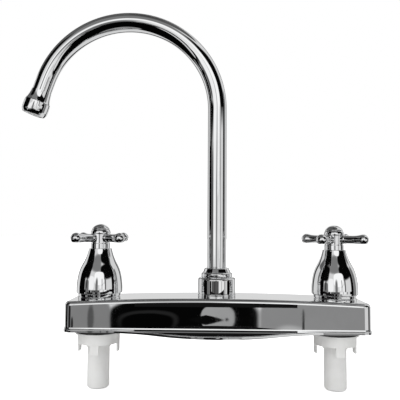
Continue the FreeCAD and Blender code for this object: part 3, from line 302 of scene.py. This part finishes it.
chrome = makeFinish("platedChrome", chromeLook)
chromePlate = makeFinish("platedCover", plateLook)
chromeTube = makeFinish("platedTube", tubeLook)
whitePlastic = makeFinish("mouldedWhite", whiteLook)
whiteShader = whitePlastic.node_tree.nodes["Principled BSDF"]
whiteShader.inputs["Subsurface Weight"].default_value = glowThrough["weight"]
whiteShader.inputs["Subsurface Radius"].default_value = glowThrough["radius"]
rubber = makeFinish("blackRubber", rubberLook)
brass = makeFinish("turnedBrass", brassLook)
copper = makeFinish("drawnCopper", copperLook)
ceramic = makeFinish("lappedCeramic", ceramicLook)
acetal = makeFinish("mouldedAcetal", acetalLook)
steel = makeFinish("screwSteel", steelLook)
print("finishes made")


gooseneck = {
    "radius": 8.3, "wall": 1.2, "foot": 20.0, "bendLevel": 191.0, "bendRadius": 79.0, "sweep": 161.0,
    "drop": 14.8, "ring": 64, "riseSteps": 12, "bendSteps": 120, "dropSteps": 2,
}
lean = math.radians(180.0 - gooseneck["sweep"])  # between the outlet's axis and straight down
outletDown = Vector((-math.sin(lean), 0.0, -math.cos(lean)))


def slide(bm, edges, move, steps):
    made = bmesh.ops.spin(
        bm, geom=edges, cent=(0.0, 0.0, 0.0), axis=(0.0, 0.0, 1.0), angle=0.0, dvec=move / steps, steps=steps,
    )
    return made["geom_last"]


def makeGooseneck():
    look = gooseneck
    bm = bmesh.new()
    made = bmesh.ops.create_circle(bm, segments=look["ring"], radius=look["radius"] * mm)
    bmesh.ops.translate(bm, vec=(0.0, 0.0, look["foot"] * mm), verts=made["verts"])
    rise = Vector((0.0, 0.0, (look["bendLevel"] - look["foot"]) * mm))
    ring = slide(bm, bm.edges[:], rise, look["riseSteps"])
    bend = bmesh.ops.spin(
        bm, geom=ring, cent=(-look["bendRadius"] * mm, 0.0, look["bendLevel"] * mm), axis=(0.0, -1.0, 0.0),
        angle=math.radians(look["sweep"]), steps=look["bendSteps"],
    )
    slide(bm, bend["geom_last"], outletDown * look["drop"] * mm, look["dropSteps"])
    bmesh.ops.recalc_face_normals(bm, faces=bm.faces[:])
    bmesh.ops.solidify(bm, geom=bm.faces[:], thickness=look["wall"] * mm)
    finishPiece(bm, "goosenecktube", "spout", "spout_tube", chromeTube)


makeGooseneck()
print("gooseneck made")


outlet = {"socket": 4.7, "start": 5.55}  # how far the tip sleeves the tube, and where the housing begins


def placeOutlet(bm, distance):
    look = gooseneck
    sweep = math.radians(look["sweep"])
    reach = look["drop"] + distance
    x = look["bendRadius"] * (math.cos(sweep) - 1.0) + reach * outletDown.x
    z = look["bendLevel"] + look["bendRadius"] * math.sin(sweep) + reach * outletDown.z
    shift(bm, x=x, z=z, tilt=-look["sweep"])


def makeTip():
    sleeve, counterbore, bore, depth, end = 8.36, 9.85, 7.1, 4.8, 16.0
    bm = turned([
        ("to", sleeve, 0.0), ("to", 8.6, 0.05), ("to", 8.62, 0.5), ("to", 8.78, 2.6), ("to", 9.2, 5.4),
        ("to", 9.9, 8.0), ("to", 10.8, 9.9), ("to", 11.0, 10.15), ("to", 10.9, 10.2),
        ("to", counterbore, 10.2), ("to", counterbore, end), ("to", bore, end), ("to", bore, depth),
        ("to", sleeve, depth), ("to", sleeve, 0.0),
    ])
    placeOutlet(bm, -outlet["socket"])
    finishPiece(bm, "flaredTip", "spout", "spout_tip", chromeTube, sharp=28.0)


def makeHousing():
    bore, mouth, lipDepth = 9.95, 8.4, 10.6
    bm = turned([
        ("to", bore, 0.0), ("to", 10.85, 0.0), ("to", 11.05, 0.15), ("to", 11.2, 1.5), ("to", 11.3, 4.4),
        ("to", 11.2, 7.6), ("to", 11.06, 8.8), ("to", 10.8, 9.5), ("to", 10.35, 10.4), ("to", 9.9, 11.3),
        ("to", 9.6, 11.7), ("to", 9.3, 11.8), ("to", 8.6, 11.8), ("to", mouth, 11.6), ("to", mouth, lipDepth),
        ("to", bore, lipDepth), ("to", bore, 0.0),
    ])
    placeOutlet(bm, outlet["start"])
    finishPiece(bm, "aeratorShell", "spout", "aerator_housing", chrome, sharp=40.0)


makeTip()
makeHousing()
print("outlet made")


spoutNut = {"foot": 30.6, "bore": 12.65, "neckBore": 8.38, "seat": 43.1, "wide": 16.2, "collar": 13.4}


def makeSpoutNut():
    look = spoutNut
    foot, bore, wide, collar = look["foot"], look["bore"], look["wide"], look["collar"]
    shoulder, collarTop = 41.9, 46.6
    bm = turned([
        ("to", bore, foot), ("to", wide - 0.3, foot), ("to", wide, foot + 0.3), ("to", wide, shoulder),
        ("arc", wide - 2.0, shoulder, 90.0, 10), ("to", 12.75, 43.9), ("to", 12.9, 44.05),
        ("to", 13.2, 44.25),
        ("to", collar, 44.6), ("to", collar, collarTop), ("arc", collar - 1.5, collarTop, 90.0, 8),
        ("to", 11.75, 48.1), ("to", 11.9, 48.25), ("to", 10.75, 51.0), ("to", 10.6, 51.4), ("to", 10.3, 51.7),
        ("to", 10.0, 51.8), ("to", 8.6, 51.8), ("to", look["neckBore"], 51.6),
        ("to", look["neckBore"], look["seat"]), ("to", bore, look["seat"]), ("to", bore, foot),
    ])
    finishPiece(bm, "swivelNut", "fixed_parts", "spout_nut", chrome, sharp=40.0)


def makeSpoutRing():
    bore, low, high = 12.8, 28.4, spoutNut["foot"]
    bm = turned([
        ("to", bore, low), ("to", 16.0, low), ("to", 16.25, 28.6), ("to", 16.3, 29.2), ("to", 16.25, 29.8),
        ("to", 16.0, 30.0), ("to", 15.8, 30.1), ("to", 15.8, high), ("to", bore, high), ("to", bore, low),
    ])
    finishPiece(bm, "nutBaseRing", "fixed_parts", "spout_ring", chrome, sharp=35.0)


makeSpoutNut()
makeSpoutRing()
print("spout nut made")


bellShape = {
    "base": 30.2, "height": 37.8, "foot": 2.6, "wide": 19.7, "bore": 17.8, "neckBore": 8.5, "segments": 128,
    "bends": [(58.0, 13.3, 10), (33.0, 16.7, 10), (-42.0, -18.03, 14)],  # skirt, belly and neck
}
bellRing = {"bore": 10.8, "low": 27.0, "wide": 18.1}


def makeBell(side):
    look = bellShape
    wide, foot, high = look["wide"], look["foot"], look["height"]
    bore, neckBore = look["bore"], look["neckBore"]
    bm = turned([
        ("to", bore, 0.0), ("to", wide - 0.4, 0.0), ("to", wide - 0.1, 0.25), ("to", wide, 0.6),
        ("to", wide, foot), *tangentArcs(wide, foot, look["bends"]),
        ("to", 9.88, high - 0.5), ("to", 9.75, high - 0.15), ("to", 9.4, high), ("to", neckBore + 0.2, high),
        ("to", neckBore, high - 0.2), ("to", neckBore, high - 1.0), ("to", 12.7, 24.8), ("to", 16.2, 15.9),
        ("to", bore, foot), ("to", bore, 0.0),
    ], look["segments"])
    shift(bm, x=sides[side], z=look["base"])
    finishPiece(bm, side + "BellShell", "fixed_parts", side + "_bell", chrome, sharp=35.0)


def makeBellRing(side):
    bore, low, wide, high = bellRing["bore"], bellRing["low"], bellRing["wide"], bellShape["base"]
    bm = turned([
        ("to", bore, low), ("to", wide - 0.4, low), ("to", wide - 0.35, 27.35), ("to", wide - 0.1, 27.6),
        ("to", wide, 27.9), ("to", wide, high - 0.3), ("to", wide - 0.2, high - 0.1),
        ("to", wide - 0.5, high), ("to", bore, high), ("to", bore, low),
    ])
    shift(bm, x=sides[side])
    finishPiece(bm, side + "FootRing", "fixed_parts", side + "_bell_ring", chrome, sharp=35.0)


for side in sides:
    makeBell(side)
    makeBellRing(side)
print("bells made")


crossShape = {
    "base": 61.5, "arms": 4, "armStart": 6.7, "armLevel": 15.5, "neck": 3.4, "ridge": 3.9, "ball": 4.6,
    "ballCentre": 25.4, "swellStart": 16.5, "flat": 3.5, "armSegments": 40,
    "wide": 8.2, "waist": 7.8, "socket": 6.8, "stemBore": 3.25, "screwBore": 2.1, "cup": 6.55, "top": 22.9,
}
capShape = {
    "spigot": 6.5, "bore": 5.3, "wide": 7.5, "edge": 0.45, "domeCentre": -4.06, "domeTurn": 58.8,
    "domeCuts": 12, "segments": 72,
}


def makeArm(angle):
    # Ridge, thin neck and a ball that swells out of it, flat underneath.
    look = crossShape
    neck, ball, ridge, swellStart = look["neck"], look["ball"], look["ridge"], look["swellStart"]
    run = look["ballCentre"] - swellStart
    hollow = (run * run + neck * neck - ball * ball) / (2.0 * (ball - neck))
    turnIn = math.degrees(math.asin(run / (hollow + ball)))
    arm = turned([
        ("to", 0.0, look["armStart"]), ("to", ridge, look["armStart"]), ("to", ridge, 9.4),
        ("to", ridge - 0.15, 9.7), ("to", neck + 0.15, 9.95), ("to", neck, 10.2), ("to", neck, swellStart),
        ("arc", neck + hollow, swellStart, -turnIn, 8), ("arc", 0.0, look["ballCentre"], 90.0 + turnIn, 18),
    ], look["armSegments"])
    shift(arm, tilt=90.0)
    cut = bmesh.ops.bisect_plane(
        arm, geom=arm.verts[:] + arm.edges[:] + arm.faces[:], plane_co=(0.0, 0.0, -look["flat"] * mm),
        plane_no=(0.0, 0.0, -1.0), clear_outer=True,
    )
    bmesh.ops.holes_fill(arm, edges=only(cut["geom_cut"], bmesh.types.BMEdge))
    shift(arm, z=look["armLevel"], turn=angle)
    return arm


def makeCross(side):
    look = crossShape
    wide, waist, socket, top = look["wide"], look["waist"], look["socket"], look["top"]
    stemBore, screwBore, cup = look["stemBore"], look["screwBore"], look["cup"]
    bm = turned([
        ("to", socket, 0.0), ("to", wide - 0.25, 0.0), ("to", wide, 0.25), ("to", wide, 10.4),
        ("to", wide - 0.2, 10.8), ("to", waist, 11.2), ("to", waist, 18.9), ("to", waist + 0.15, 19.15),
        ("to", 8.3, 19.4), ("to", 8.42, 19.9), ("to", 8.35, 20.8), ("to", 8.1, 21.7), ("to", 7.75, 22.4),
        ("to", 7.5, top - 0.1), ("to", 7.3, top), ("to", cup, top), ("to", cup, 19.4),
        ("to", screwBore, 19.4), ("to", screwBore, 16.4), ("to", stemBore, 16.4), ("to", stemBore, 5.0),
        ("to", socket, 5.0), ("to", socket, 0.0),
    ])
    for arm in range(look["arms"]):
        joinInto(bm, makeArm(arm * 360.0 / look["arms"]))
    shift(bm, x=sides[side], z=look["base"], turn=restTurn[side])
    body, node = side + "_handle", side + "_cross_handle"
    finishPiece(bm, side + "Cross", body, node, chrome, sharp=38.0)


def makeCap(side):
    look = capShape
    wide, edge, spigot, bore = look["wide"], look["edge"], look["spigot"], look["bore"]
    bm = turned([
        ("to", bore, -1.2), ("to", spigot, -1.2), ("to", spigot, 0.02), ("to", wide - 0.3, 0.02),
        ("to", wide - 0.05, 0.15), ("to", wide, edge),
        ("arc", 0.0, look["domeCentre"], look["domeTurn"], look["domeCuts"]),
        ("to", 0.0, 2.5), ("to", bore, 0.6), ("to", bore, -1.2),
    ], look["segments"])
    shift(bm, x=sides[side], z=crossShape["base"] + crossShape["top"], turn=restTurn[side])
    body, node = side + "_handle", side + "_handle_cap"
    finishPiece(bm, side + "Button", body, node, chrome, sharp=50.0)


for side in sides:
    makeCross(side)
    makeCap(side)
print("handles made")


cover = {
    "length": 254.0, "width": 45.0, "height": 28.0, "crownDrop": 3.4, "corner": 7.0, "cornerCuts": 8,
    "edge": 3.2, "edgeSteps": 7, "wall": 2.4, "slices": 48,
    "lip": 2.2, "rim": 0.8, "lipRound": 0.6, "lipCuts": 5, "bow": 22.0, "span": 192.0, "lipSlices": 96,
    "beadOut": 0.32, "beadIn": 0.14, "beadLift": 0.7, "beadRise": 1.3,
    "seatEdge": 0.2, "handleSeat": {"wide": 18.1, "hole": 10.8, "low": 22.4, "high": 27.0},
    "spoutSeat": {"wide": 16.2, "hole": 12.8, "low": 23.4, "high": 28.4},
}


def roundedOblong(grow, level):
    # The cover's outline, grown or shrunk all round, as one face.
    look = cover
    bm = bmesh.new()
    made = bmesh.ops.create_grid(bm, x_segments=1, y_segments=1, size=0.5)["verts"]
    length, width = look["length"] + 2 * grow, look["width"] + 2 * grow
    bmesh.ops.scale(bm, vec=(length * mm, width * mm, 1.0), verts=made)
    bmesh.ops.translate(bm, vec=(0.0, 0.0, level * mm), verts=made)
    bmesh.ops.bevel(
        bm, geom=made, offset=(look["corner"] + grow) * mm, offset_type="OFFSET",
        segments=look["cornerCuts"], profile=0.5, affect="VERTICES", material=-1,
    )
    return bm


def raiseFaces(bm, faces, rise):
    grown = bmesh.ops.extrude_face_region(bm, geom=faces)["geom"]
    bmesh.ops.translate(bm, verts=only(grown, bmesh.types.BMVert), vec=(0.0, 0.0, rise * mm))
    return only(grown, bmesh.types.BMFace)


def sliceAcross(bm, half, count):
    for k in range(1, count):
        x = (2.0 * k / count - 1.0) * half * mm
        geometry = bm.verts[:] + bm.edges[:] + bm.faces[:]
        bmesh.ops.bisect_plane(bm, geom=geometry, plane_co=(x, 0, 0), plane_no=(1, 0, 0))


def crownDropAt(x):
    half, drop = cover["length"] / 2, cover["crownDrop"]
    radius = (half * half + drop * drop) / (2 * drop)
    return radius - math.sqrt(radius * radius - x * x)


def bowAt(x):
    # How far the lip's front stands out: an arc at the middle that eases into one on each side.
    reach, half = cover["bow"] - cover["rim"], cover["span"] / 2
    radius = (half * half + reach * reach) / (4 * reach)
    x = abs(x)
    if x < half / 2:
        return reach - radius + math.sqrt(radius * radius - x * x)
    if x < half:
        return radius - math.sqrt(radius * radius - (half - x) ** 2)
    return 0.0


def makeShell():
    look = cover
    bm = roundedOblong(0.0, 0.0)
    wallTop = look["height"] - look["edge"]
    floor = bm.faces[:]
    top = raiseFaces(bm, floor, wallTop)
    bmesh.ops.delete(bm, geom=floor, context="FACES_ONLY")
    for k in range(look["edgeSteps"]):
        start, end = (math.radians(90.0 * j / look["edgeSteps"]) for j in (k, k + 1))
        inward = look["edge"] * (math.cos(start) - math.cos(end))
        upward = look["edge"] * (math.sin(end) - math.sin(start))
        bmesh.ops.inset_region(
            bm, faces=top, thickness=inward * mm, depth=upward * mm, use_even_offset=True,
        )
    sliceAcross(bm, look["length"] / 2, look["slices"])
    for vert in bm.verts:
        share = min(1.0, max(0.0, vert.co.z / (wallTop * mm)))
        vert.co.z -= crownDropAt(vert.co.x / mm) * mm * share
    bmesh.ops.recalc_face_normals(bm, faces=bm.faces[:])
    bmesh.ops.solidify(bm, geom=bm.faces[:], thickness=look["wall"] * mm)
    return bm


def makeLip():
    look = cover
    half = look["length"] / 2 + look["rim"]
    front = -(look["width"] / 2 + look["rim"]) * mm
    lip = roundedOblong(look["rim"], 0.0)
    sliceAcross(lip, half, look["lipSlices"])
    for vert in lip.verts:
        if vert.co.y < front + outlineGap:
            vert.co.y -= bowAt(vert.co.x / mm) * mm
    opening = roundedOblong(-look["wall"] / 2, 0.0)
    sliceAcross(opening, half, look["lipSlices"])
    for sheet in (lip, opening):
        bmesh.ops.dissolve_faces(sheet, faces=sheet.faces[:])
    joinInto(lip, opening)
    bmesh.ops.delete(lip, geom=lip.faces[:], context="FACES_ONLY")
    bmesh.ops.bridge_loops(lip, edges=lip.edges[:])
    raiseFaces(lip, lip.faces[:], look["lip"])
    raised = [edge for edge in lip.edges if all(vert.co.z > look["lip"] * mm / 2 for vert in edge.verts)]
    corners = [edge for edge in raised if edge.is_manifold and edge.calc_face_angle() > math.radians(70.0)]
    bmesh.ops.bevel(
        lip, geom=corners, offset=look["lipRound"] * mm, offset_type="OFFSET", segments=look["lipCuts"],
        profile=0.5, affect="EDGES", material=-1,
    )
    return lip


def makeBead():
    # The narrow sloped step where the sides meet the lip.
    look = cover
    bead = roundedOblong(look["beadOut"], look["lip"])
    top = raiseFaces(bead, bead.faces[:], look["beadLift"])
    bmesh.ops.inset_region(
        bead, faces=top, thickness=(look["beadOut"] + look["beadIn"]) * mm, depth=look["beadRise"] * mm,
        use_even_offset=True, use_boundary=True,
    )
    bead.normal_update()
    flat = [face for face in bead.faces if abs(face.normal.z) > 0.9]
    bmesh.ops.delete(bead, geom=flat, context="FACES")
    return bead


def makeSeat(look, x):
    hole, wide, low, high, edge = look["hole"], look["wide"], look["low"], look["high"], cover["seatEdge"]
    seat = turned([
        ("to", hole, low), ("to", wide, low), ("to", wide, high - edge), ("to", wide - edge, high),
        ("to", hole, high), ("to", hole, low),
    ])
    shift(seat, x=x)
    return seat


def makeCover():
    bm = makeShell()
    joinInto(bm, makeLip())
    joinInto(bm, makeBead())
    for x in sides.values():
        joinInto(bm, makeSeat(cover["handleSeat"], x))
    joinInto(bm, makeSeat(cover["spoutSeat"], 0.0))
    finishPiece(bm, "deckCover", "fixed_parts", "base_cover", chromePlate, sharp=18.0)


makeCover()
print("cover made")


nodeFinish = {
    "spout_hub": whitePlastic, "glide_washer": acetal, "spout_tail": brass, "spout_seals": rubber,
    "aerator_washer": rubber, "aerator_insert": acetal,
}
for side in sides:
    nodeFinish.update({
        side + "_valve_body": whitePlastic, side + "_mounting_nut": whitePlastic,
        side + "_mount_washer": rubber, side + "_cross_tube": copper, side + "_cartridge": brass,
        side + "_fixed_disc": ceramic, side + "_turning_disc": ceramic, side + "_seat_seal": rubber,
        side + "_stem": brass, side + "_stem_seal": rubber, side + "_handle_screw": steel,
    })
for node, material in nodeFinish.items():
    dress(node, material)
print("nodes dressed")


# Soft boards in all directions, which only shiny surfaces show, laid over each other in this order:
# name, azimuth from the camera's side and height of the middle, half width and half height, all in
# degrees, then squareness, softness and tone on the screen.
room = {
    "paper": 0.84, "strength": 1.08, "displayPower": 2.2,
    "boards": [
        ("ceiling", 0, 90, 400, 30, 2, 0.06, 0.34),
        ("skylight", 0, 90, 400, 9, 2, 0.10, 0.24),
        ("backLowBoard", 180, -20, 46, 9, 4, 0.10, 0.12),
        ("backLowBoard", -180, -20, 46, 9, 4, 0.10, 0.12),
        ("backRightPost", 150, 20, 8, 30, 5, 0.10, 0.34),
        ("backLeftPost", -146, 20, 9, 30, 5, 0.10, 0.30),
        ("backHighBoard", 180, 52, 22, 8, 4, 0.10, 0.40),
        ("backHighBoard", -180, 52, 22, 8, 4, 0.10, 0.40),
        ("leftUpperCloth", -112, 46, 70, 19, 5, 0.12, 0.36),
        ("frontUpperCloth", -14, 48, 36, 17, 3, 0.25, 0.48),
        ("rightUpperBoard", 54, 33, 40, 20, 3.5, 0.10, 0.06),
        ("leftUpperBoard", -69, 30, 26, 19, 4, 0.10, 0.06),
        ("leftBoard", -88, 6, 20, 27, 5, 0.05, 0.045),
        ("leftGreyCloth", -56, -2, 11, 12, 4, 0.10, 0.43),
        ("leftPost", -57, 5, 3, 8, 4, 0.20, 0.18),
        ("leftLight", -31, 7, 13, 11, 4, 0.08, 0.97),
        ("frontLight", 8, 18, 26, 14, 3, 0.05, 1.0),
        ("frontGreyBoard", -4, 3, 6, 13, 3, 0.30, 0.44),
        ("frontLowLight", 14, 1, 4, 3.5, 3, 0.20, 0.97),
        ("rightLight", 33, 1, 4, 5, 4, 0.10, 0.98),
        ("rightBar", 40, 4, 3.4, 12, 5, 0.12, 0.40),
        ("frontBar", 23, 9, 1.8, 6, 5, 0.20, 0.44),
        ("rightBoard", 83, 4, 9, 30, 5, 0.06, 0.06),
        ("rightGreyCloth", 103, 0, 10, 26, 5, 0.08, 0.46),
        ("groundBoard", -16, -45, 112, 33, 6, 0.04, 0.045),
        ("groundMat", -16, -82, 400, 12, 6, 0.10, 0.55),
        ("leftLowSheet", -42, -17.5, 20, 4.0, 3, 0.10, 0.80),
        ("rightLowSheet", 40, -17.2, 19, 3.8, 3, 0.10, 0.86),
        # the row that the nut and the bells' feet show
        ("footLeftBoard", -72, -6.4, 11, 1.8, 8, 0.05, 0.05),
        ("footRightBoard", 74, -6.4, 9, 1.8, 8, 0.05, 0.05),
        ("footLeftPost", -39, -6.4, 5.5, 1.8, 8, 0.05, 0.13),
        ("footFrontCloth", -10, -6.4, 21, 1.8, 8, 0.04, 0.33),
        ("footFrontPost", -12, -6.4, 2.4, 1.8, 8, 0.10, 0.22),
        ("footLight", 29, -6.4, 15, 1.8, 8, 0.05, 0.92),
        ("footLightBar", 29, -6.4, 2.0, 1.8, 8, 0.20, 0.62),
        ("footRightCloth", 50, -6.4, 3.4, 1.8, 8, 0.10, 0.55),
        # the row that the cover's flat front shows
        ("plateBoard", -2.8, -10.4, 8.9, 2.5, 4, 0.05, 0.055),
        ("plateFarBoard", -39.0, -10.6, 17, 2.6, 6, 0.05, 0.14),
        ("plateLeftCloth", -17.1, -10.4, 5.7, 2.4, 8, 0.03, 0.50),
        ("plateLeftBlot", -18.0, -10.7, 1.0, 0.9, 2, 0.25, 0.20),
        ("plateLeftFold", -13.6, -10.2, 0.35, 1.9, 2, 0.30, 0.33),
        ("plateHoop", -7.0, -10.5, 3.5, 1.25, 2.6, 0.10, 0.15),
        ("plateHoopCore", -7.1, -10.75, 3.1, 1.15, 2.6, 0.10, 0.05),
        ("plateRightCloth", 14.6, -10.2, 8.4, 2.25, 6, 0.02, 0.54),
        ("plateRightGlow", 9.6, -11.6, 1.5, 0.7, 2, 0.40, 0.68),
        ("plateRightSheen", 14.0, -12.4, 7.5, 0.8, 3, 0.40, 0.86),
        ("plateSeam", 11.1, -10.5, 0.14, 1.6, 4, 0.30, 0.24),
        ("platePatch", 1.2, -10.15, 1.95, 1.55, 2.8, 0.04, 0.61),
        ("plateNotch", -0.2, -10.45, 2.1, 0.62, 1.1, 0.06, 0.07),
        ("plateDot", 2.25, -10.35, 0.2, 0.2, 2, 0.30, 0.20),
    ],
}
boardSockets = ("Middle Azimuth", "Middle Height", "Half Width", "Half Height", "Squareness", "Softness")


def shown(tone):
    return tone ** room["displayPower"]  # the light that looks like this tone on the screen


def addMath(nodes, links, operation, first, second=None, constant=None):
    node = nodes.new("ShaderNodeMath")
    node.operation = operation
    links.new(first, node.inputs[0])
    if second is not None:
        links.new(second, node.inputs[1])
    if constant is not None:
        node.inputs[1].default_value = constant
    return node.outputs["Value"]


def makeBoardGroup():
    # A rounded patch of directions that puts its own tone over what lies behind it.
    names = ("Azimuth", "Height", "Behind", *boardSockets, "Light")
    group, start, end = newGroup(
        "roomBoard", [(name, "NodeSocketFloat", 1.0) for name in names], [("Result", "NodeSocketFloat")],
    )
    nodes, links = group.nodes, group.links
    arms = []
    for place, middle, half in (
        ("Azimuth", "Middle Azimuth", "Half Width"), ("Height", "Middle Height", "Half Height"),
    ):
        away = addMath(nodes, links, "SUBTRACT", start.outputs[place], start.outputs[middle])
        share = addMath(nodes, links, "DIVIDE", away, start.outputs[half])
        size = addMath(nodes, links, "ABSOLUTE", share)
        arms.append(addMath(nodes, links, "POWER", size, start.outputs["Squareness"]))
    reach = addMath(nodes, links, "ADD", arms[0], arms[1])
    spread = addMath(nodes, links, "MULTIPLY", start.outputs["Squareness"], start.outputs["Softness"])
    inward = addMath(nodes, links, "MULTIPLY", spread, constant=-1.0)
    edge = nodes.new("ShaderNodeMapRange")
    edge.interpolation_type = "SMOOTHSTEP"
    edge.inputs["To Min"].default_value = 1.0
    edge.inputs["To Max"].default_value = 0.0
    links.new(reach, edge.inputs["Value"])
    links.new(addMath(nodes, links, "ADD", inward, constant=1.0), edge.inputs["From Min"])
    links.new(addMath(nodes, links, "ADD", spread, constant=1.0), edge.inputs["From Max"])
    mix = nodes.new("ShaderNodeMix")
    links.new(edge.outputs["Result"], mix.inputs["Factor"])
    links.new(start.outputs["Behind"], mix.inputs["A"])
    links.new(start.outputs["Light"], mix.inputs["B"])
    links.new(mix.outputs["Result"], end.inputs["Result"])
    return group


def addRoom(nodes, links):
    where = nodes.new("ShaderNodeTexCoord")
    split = nodes.new("ShaderNodeSeparateXYZ")
    links.new(where.outputs["Generated"], split.inputs["Vector"])
    forward = addMath(nodes, links, "MULTIPLY", split.outputs["Y"], constant=-1.0)
    around = addMath(nodes, links, "ARCTAN2", split.outputs["X"], forward)
    azimuth = addMath(nodes, links, "DEGREES", around)
    height = addMath(nodes, links, "DEGREES", addMath(nodes, links, "ARCSINE", split.outputs["Z"]))
    group = makeBoardGroup()
    behind = None
    for name, *sizes, tone in room["boards"]:
        board = nodes.new("ShaderNodeGroup")
        board.node_tree = group
        board.label = name
        links.new(azimuth, board.inputs["Azimuth"])
        links.new(height, board.inputs["Height"])
        if behind is None:
            board.inputs["Behind"].default_value = shown(room["paper"])
        else:
            links.new(behind, board.inputs["Behind"])
        for socket, size in zip(boardSockets, sizes):
            board.inputs[socket].default_value = size
        board.inputs["Light"].default_value = shown(tone)
        behind = board.outputs["Result"]
    return behind


def addPlainLight(nodes, strength):
    light = nodes.new("ShaderNodeBackground")
    light.inputs["Color"].default_value = (1.0, 1.0, 1.0, 1.0)
    light.inputs["Strength"].default_value = strength
    return light


def addSwitch(nodes, links, ray, other, chosen):
    switch = nodes.new("ShaderNodeMixShader")
    links.new(ray, switch.inputs["Fac"])
    links.new(other, switch.inputs[1])
    links.new(chosen, switch.inputs[2])
    return switch.outputs["Shader"]


studio = {
    "fillStrength": 0.80, "backdropStrength": 1.0, "floorLevel": -50.2, "floorSize": 6.0,
    "floorColour": (0.86, 0.86, 0.86), "floorRoughness": 0.9, "floorGlow": 0.62,
    "slatPlace": (0.0, -90.0, 16.5), "slatWidth": 156.0, "slatHeight": 11.2, "slatTone": 0.008,
    "lampAim": (0.0, 0.0, 0.08),
    "lamps": {
        "keyLamp": {"place": (-0.7, -0.9, 1.1), "size": 0.8, "power": 6.0},
        "topLamp": {"place": (0.3, 0.2, 1.4), "size": 1.2, "power": 4.0},
    },
}


def makeWorld():
    world = bpy.data.worlds.new("studioWorld")
    bpy.context.scene.world = world
    world.use_nodes = True
    nodes, links = world.node_tree.nodes, world.node_tree.links
    nodes.clear()
    out = nodes.new("ShaderNodeOutputWorld")
    rays = nodes.new("ShaderNodeLightPath").outputs
    boards = nodes.new("ShaderNodeBackground")
    boards.inputs["Strength"].default_value = room["strength"]
    links.new(addRoom(nodes, links), boards.inputs["Color"])
    fill = addPlainLight(nodes, studio["fillStrength"]).outputs["Background"]
    backdrop = addPlainLight(nodes, studio["backdropStrength"]).outputs["Background"]
    glossy = addSwitch(nodes, links, rays["Is Glossy Ray"], fill, boards.outputs["Background"])
    links.new(addSwitch(nodes, links, rays["Is Camera Ray"], glossy, backdrop), out.inputs["Surface"])


def makePalePaper():
    material = bpy.data.materials.new("palePaper")
    material.use_nodes = True
    nodes, links = material.node_tree.nodes, material.node_tree.links
    shader = nodes["Principled BSDF"]
    shader.inputs["Base Color"].default_value = (*studio["floorColour"], 1.0)
    shader.inputs["Roughness"].default_value = studio["floorRoughness"]
    shader.inputs["Emission Color"].default_value = (1.0, 1.0, 1.0, 1.0)
    rays = nodes.new("ShaderNodeLightPath").outputs
    seen = addMath(nodes, links, "MAXIMUM", rays["Is Camera Ray"], rays["Is Glossy Ray"])
    glow = addMath(nodes, links, "MULTIPLY", seen, constant=studio["floorGlow"])
    links.new(glow, shader.inputs["Emission Strength"])
    return material


def makeFloor():
    bm = bmesh.new()
    bmesh.ops.create_grid(bm, x_segments=4, y_segments=4, size=studio["floorSize"])
    bmesh.ops.translate(bm, vec=(0.0, 0.0, studio["floorLevel"] * mm), verts=bm.verts[:])
    floor = newObject("paleFloor", bm, makePalePaper())
    floor.visible_glossy = False


def makeSlatCloth():
    material = bpy.data.materials.new("slatCloth")
    material.use_nodes = True
    nodes, links = material.node_tree.nodes, material.node_tree.links
    nodes.clear()
    out = nodes.new("ShaderNodeOutputMaterial")
    glow = nodes.new("ShaderNodeEmission")
    tone = studio["slatTone"]
    glow.inputs["Color"].default_value = (tone, tone, tone, 1.0)
    links.new(glow.outputs["Emission"], out.inputs["Surface"])
    return material


def makeSlat():
    # A dark slat before the cover, seen only in the chrome: it blackens the lip's ledge.
    bm = bmesh.new()
    bmesh.ops.create_grid(bm, x_segments=1, y_segments=1, size=0.5)
    upright = Matrix.Rotation(math.radians(90.0), 3, "X")
    bmesh.ops.rotate(bm, cent=(0.0, 0.0, 0.0), matrix=upright, verts=bm.verts[:])
    size = (studio["slatWidth"] * mm, 1.0, studio["slatHeight"] * mm)
    bmesh.ops.scale(bm, vec=size, verts=bm.verts[:])
    bmesh.ops.translate(bm, vec=Vector(studio["slatPlace"]) * mm, verts=bm.verts[:])
    slat = newObject("darkSlat", bm, makeSlatCloth())
    slat.visible_camera = False
    slat.visible_diffuse = False
    slat.visible_shadow = False
    slat.visible_transmission = False


def makeLamp(name, look):
    light = bpy.data.lights.new(name, "AREA")
    light.size = look["size"]
    light.energy = look["power"]
    lamp = bpy.data.objects.new(name, light)
    bpy.context.scene.collection.objects.link(lamp)
    lamp.location = look["place"]
    towards = Vector(studio["lampAim"]) - Vector(look["place"])
    lamp.rotation_euler = towards.to_track_quat("-Z", "Y").to_euler()
    lamp.visible_glossy = False


makeWorld()
makeFloor()
makeSlat()
for name, look in studio["lamps"].items():
    makeLamp(name, look)


view = {
    "sensor": 36.0, "lens": 43.2, "nearest": 10.0, "distance": 420.0, "aside": -14.9, "height": 85.5,
    "yaw": 1.0, "pitch": 3.43, "roll": 0.35,
}


def makeCamera():
    lens = bpy.data.cameras.new("photoCamera")
    lens.sensor_width = view["sensor"]
    lens.lens = view["lens"]
    lens.clip_start = view["nearest"] * mm
    camera = bpy.data.objects.new("photoCamera", lens)
    bpy.context.scene.collection.objects.link(camera)
    bpy.context.scene.camera = camera
    yaw = Matrix.Rotation(math.radians(view["yaw"]), 3, "Z")
    pitch = Matrix.Rotation(math.radians(90.0 + view["pitch"]), 3, "X")
    roll = Matrix.Rotation(math.radians(view["roll"]), 3, "Z")
    camera.location = yaw @ Vector((view["aside"], -view["distance"], view["height"])) * mm
    camera.rotation_euler = (yaw @ pitch @ roll).to_euler()


makeCamera()
bpy.context.scene.view_settings.view_transform = "Standard"
print("studio made")
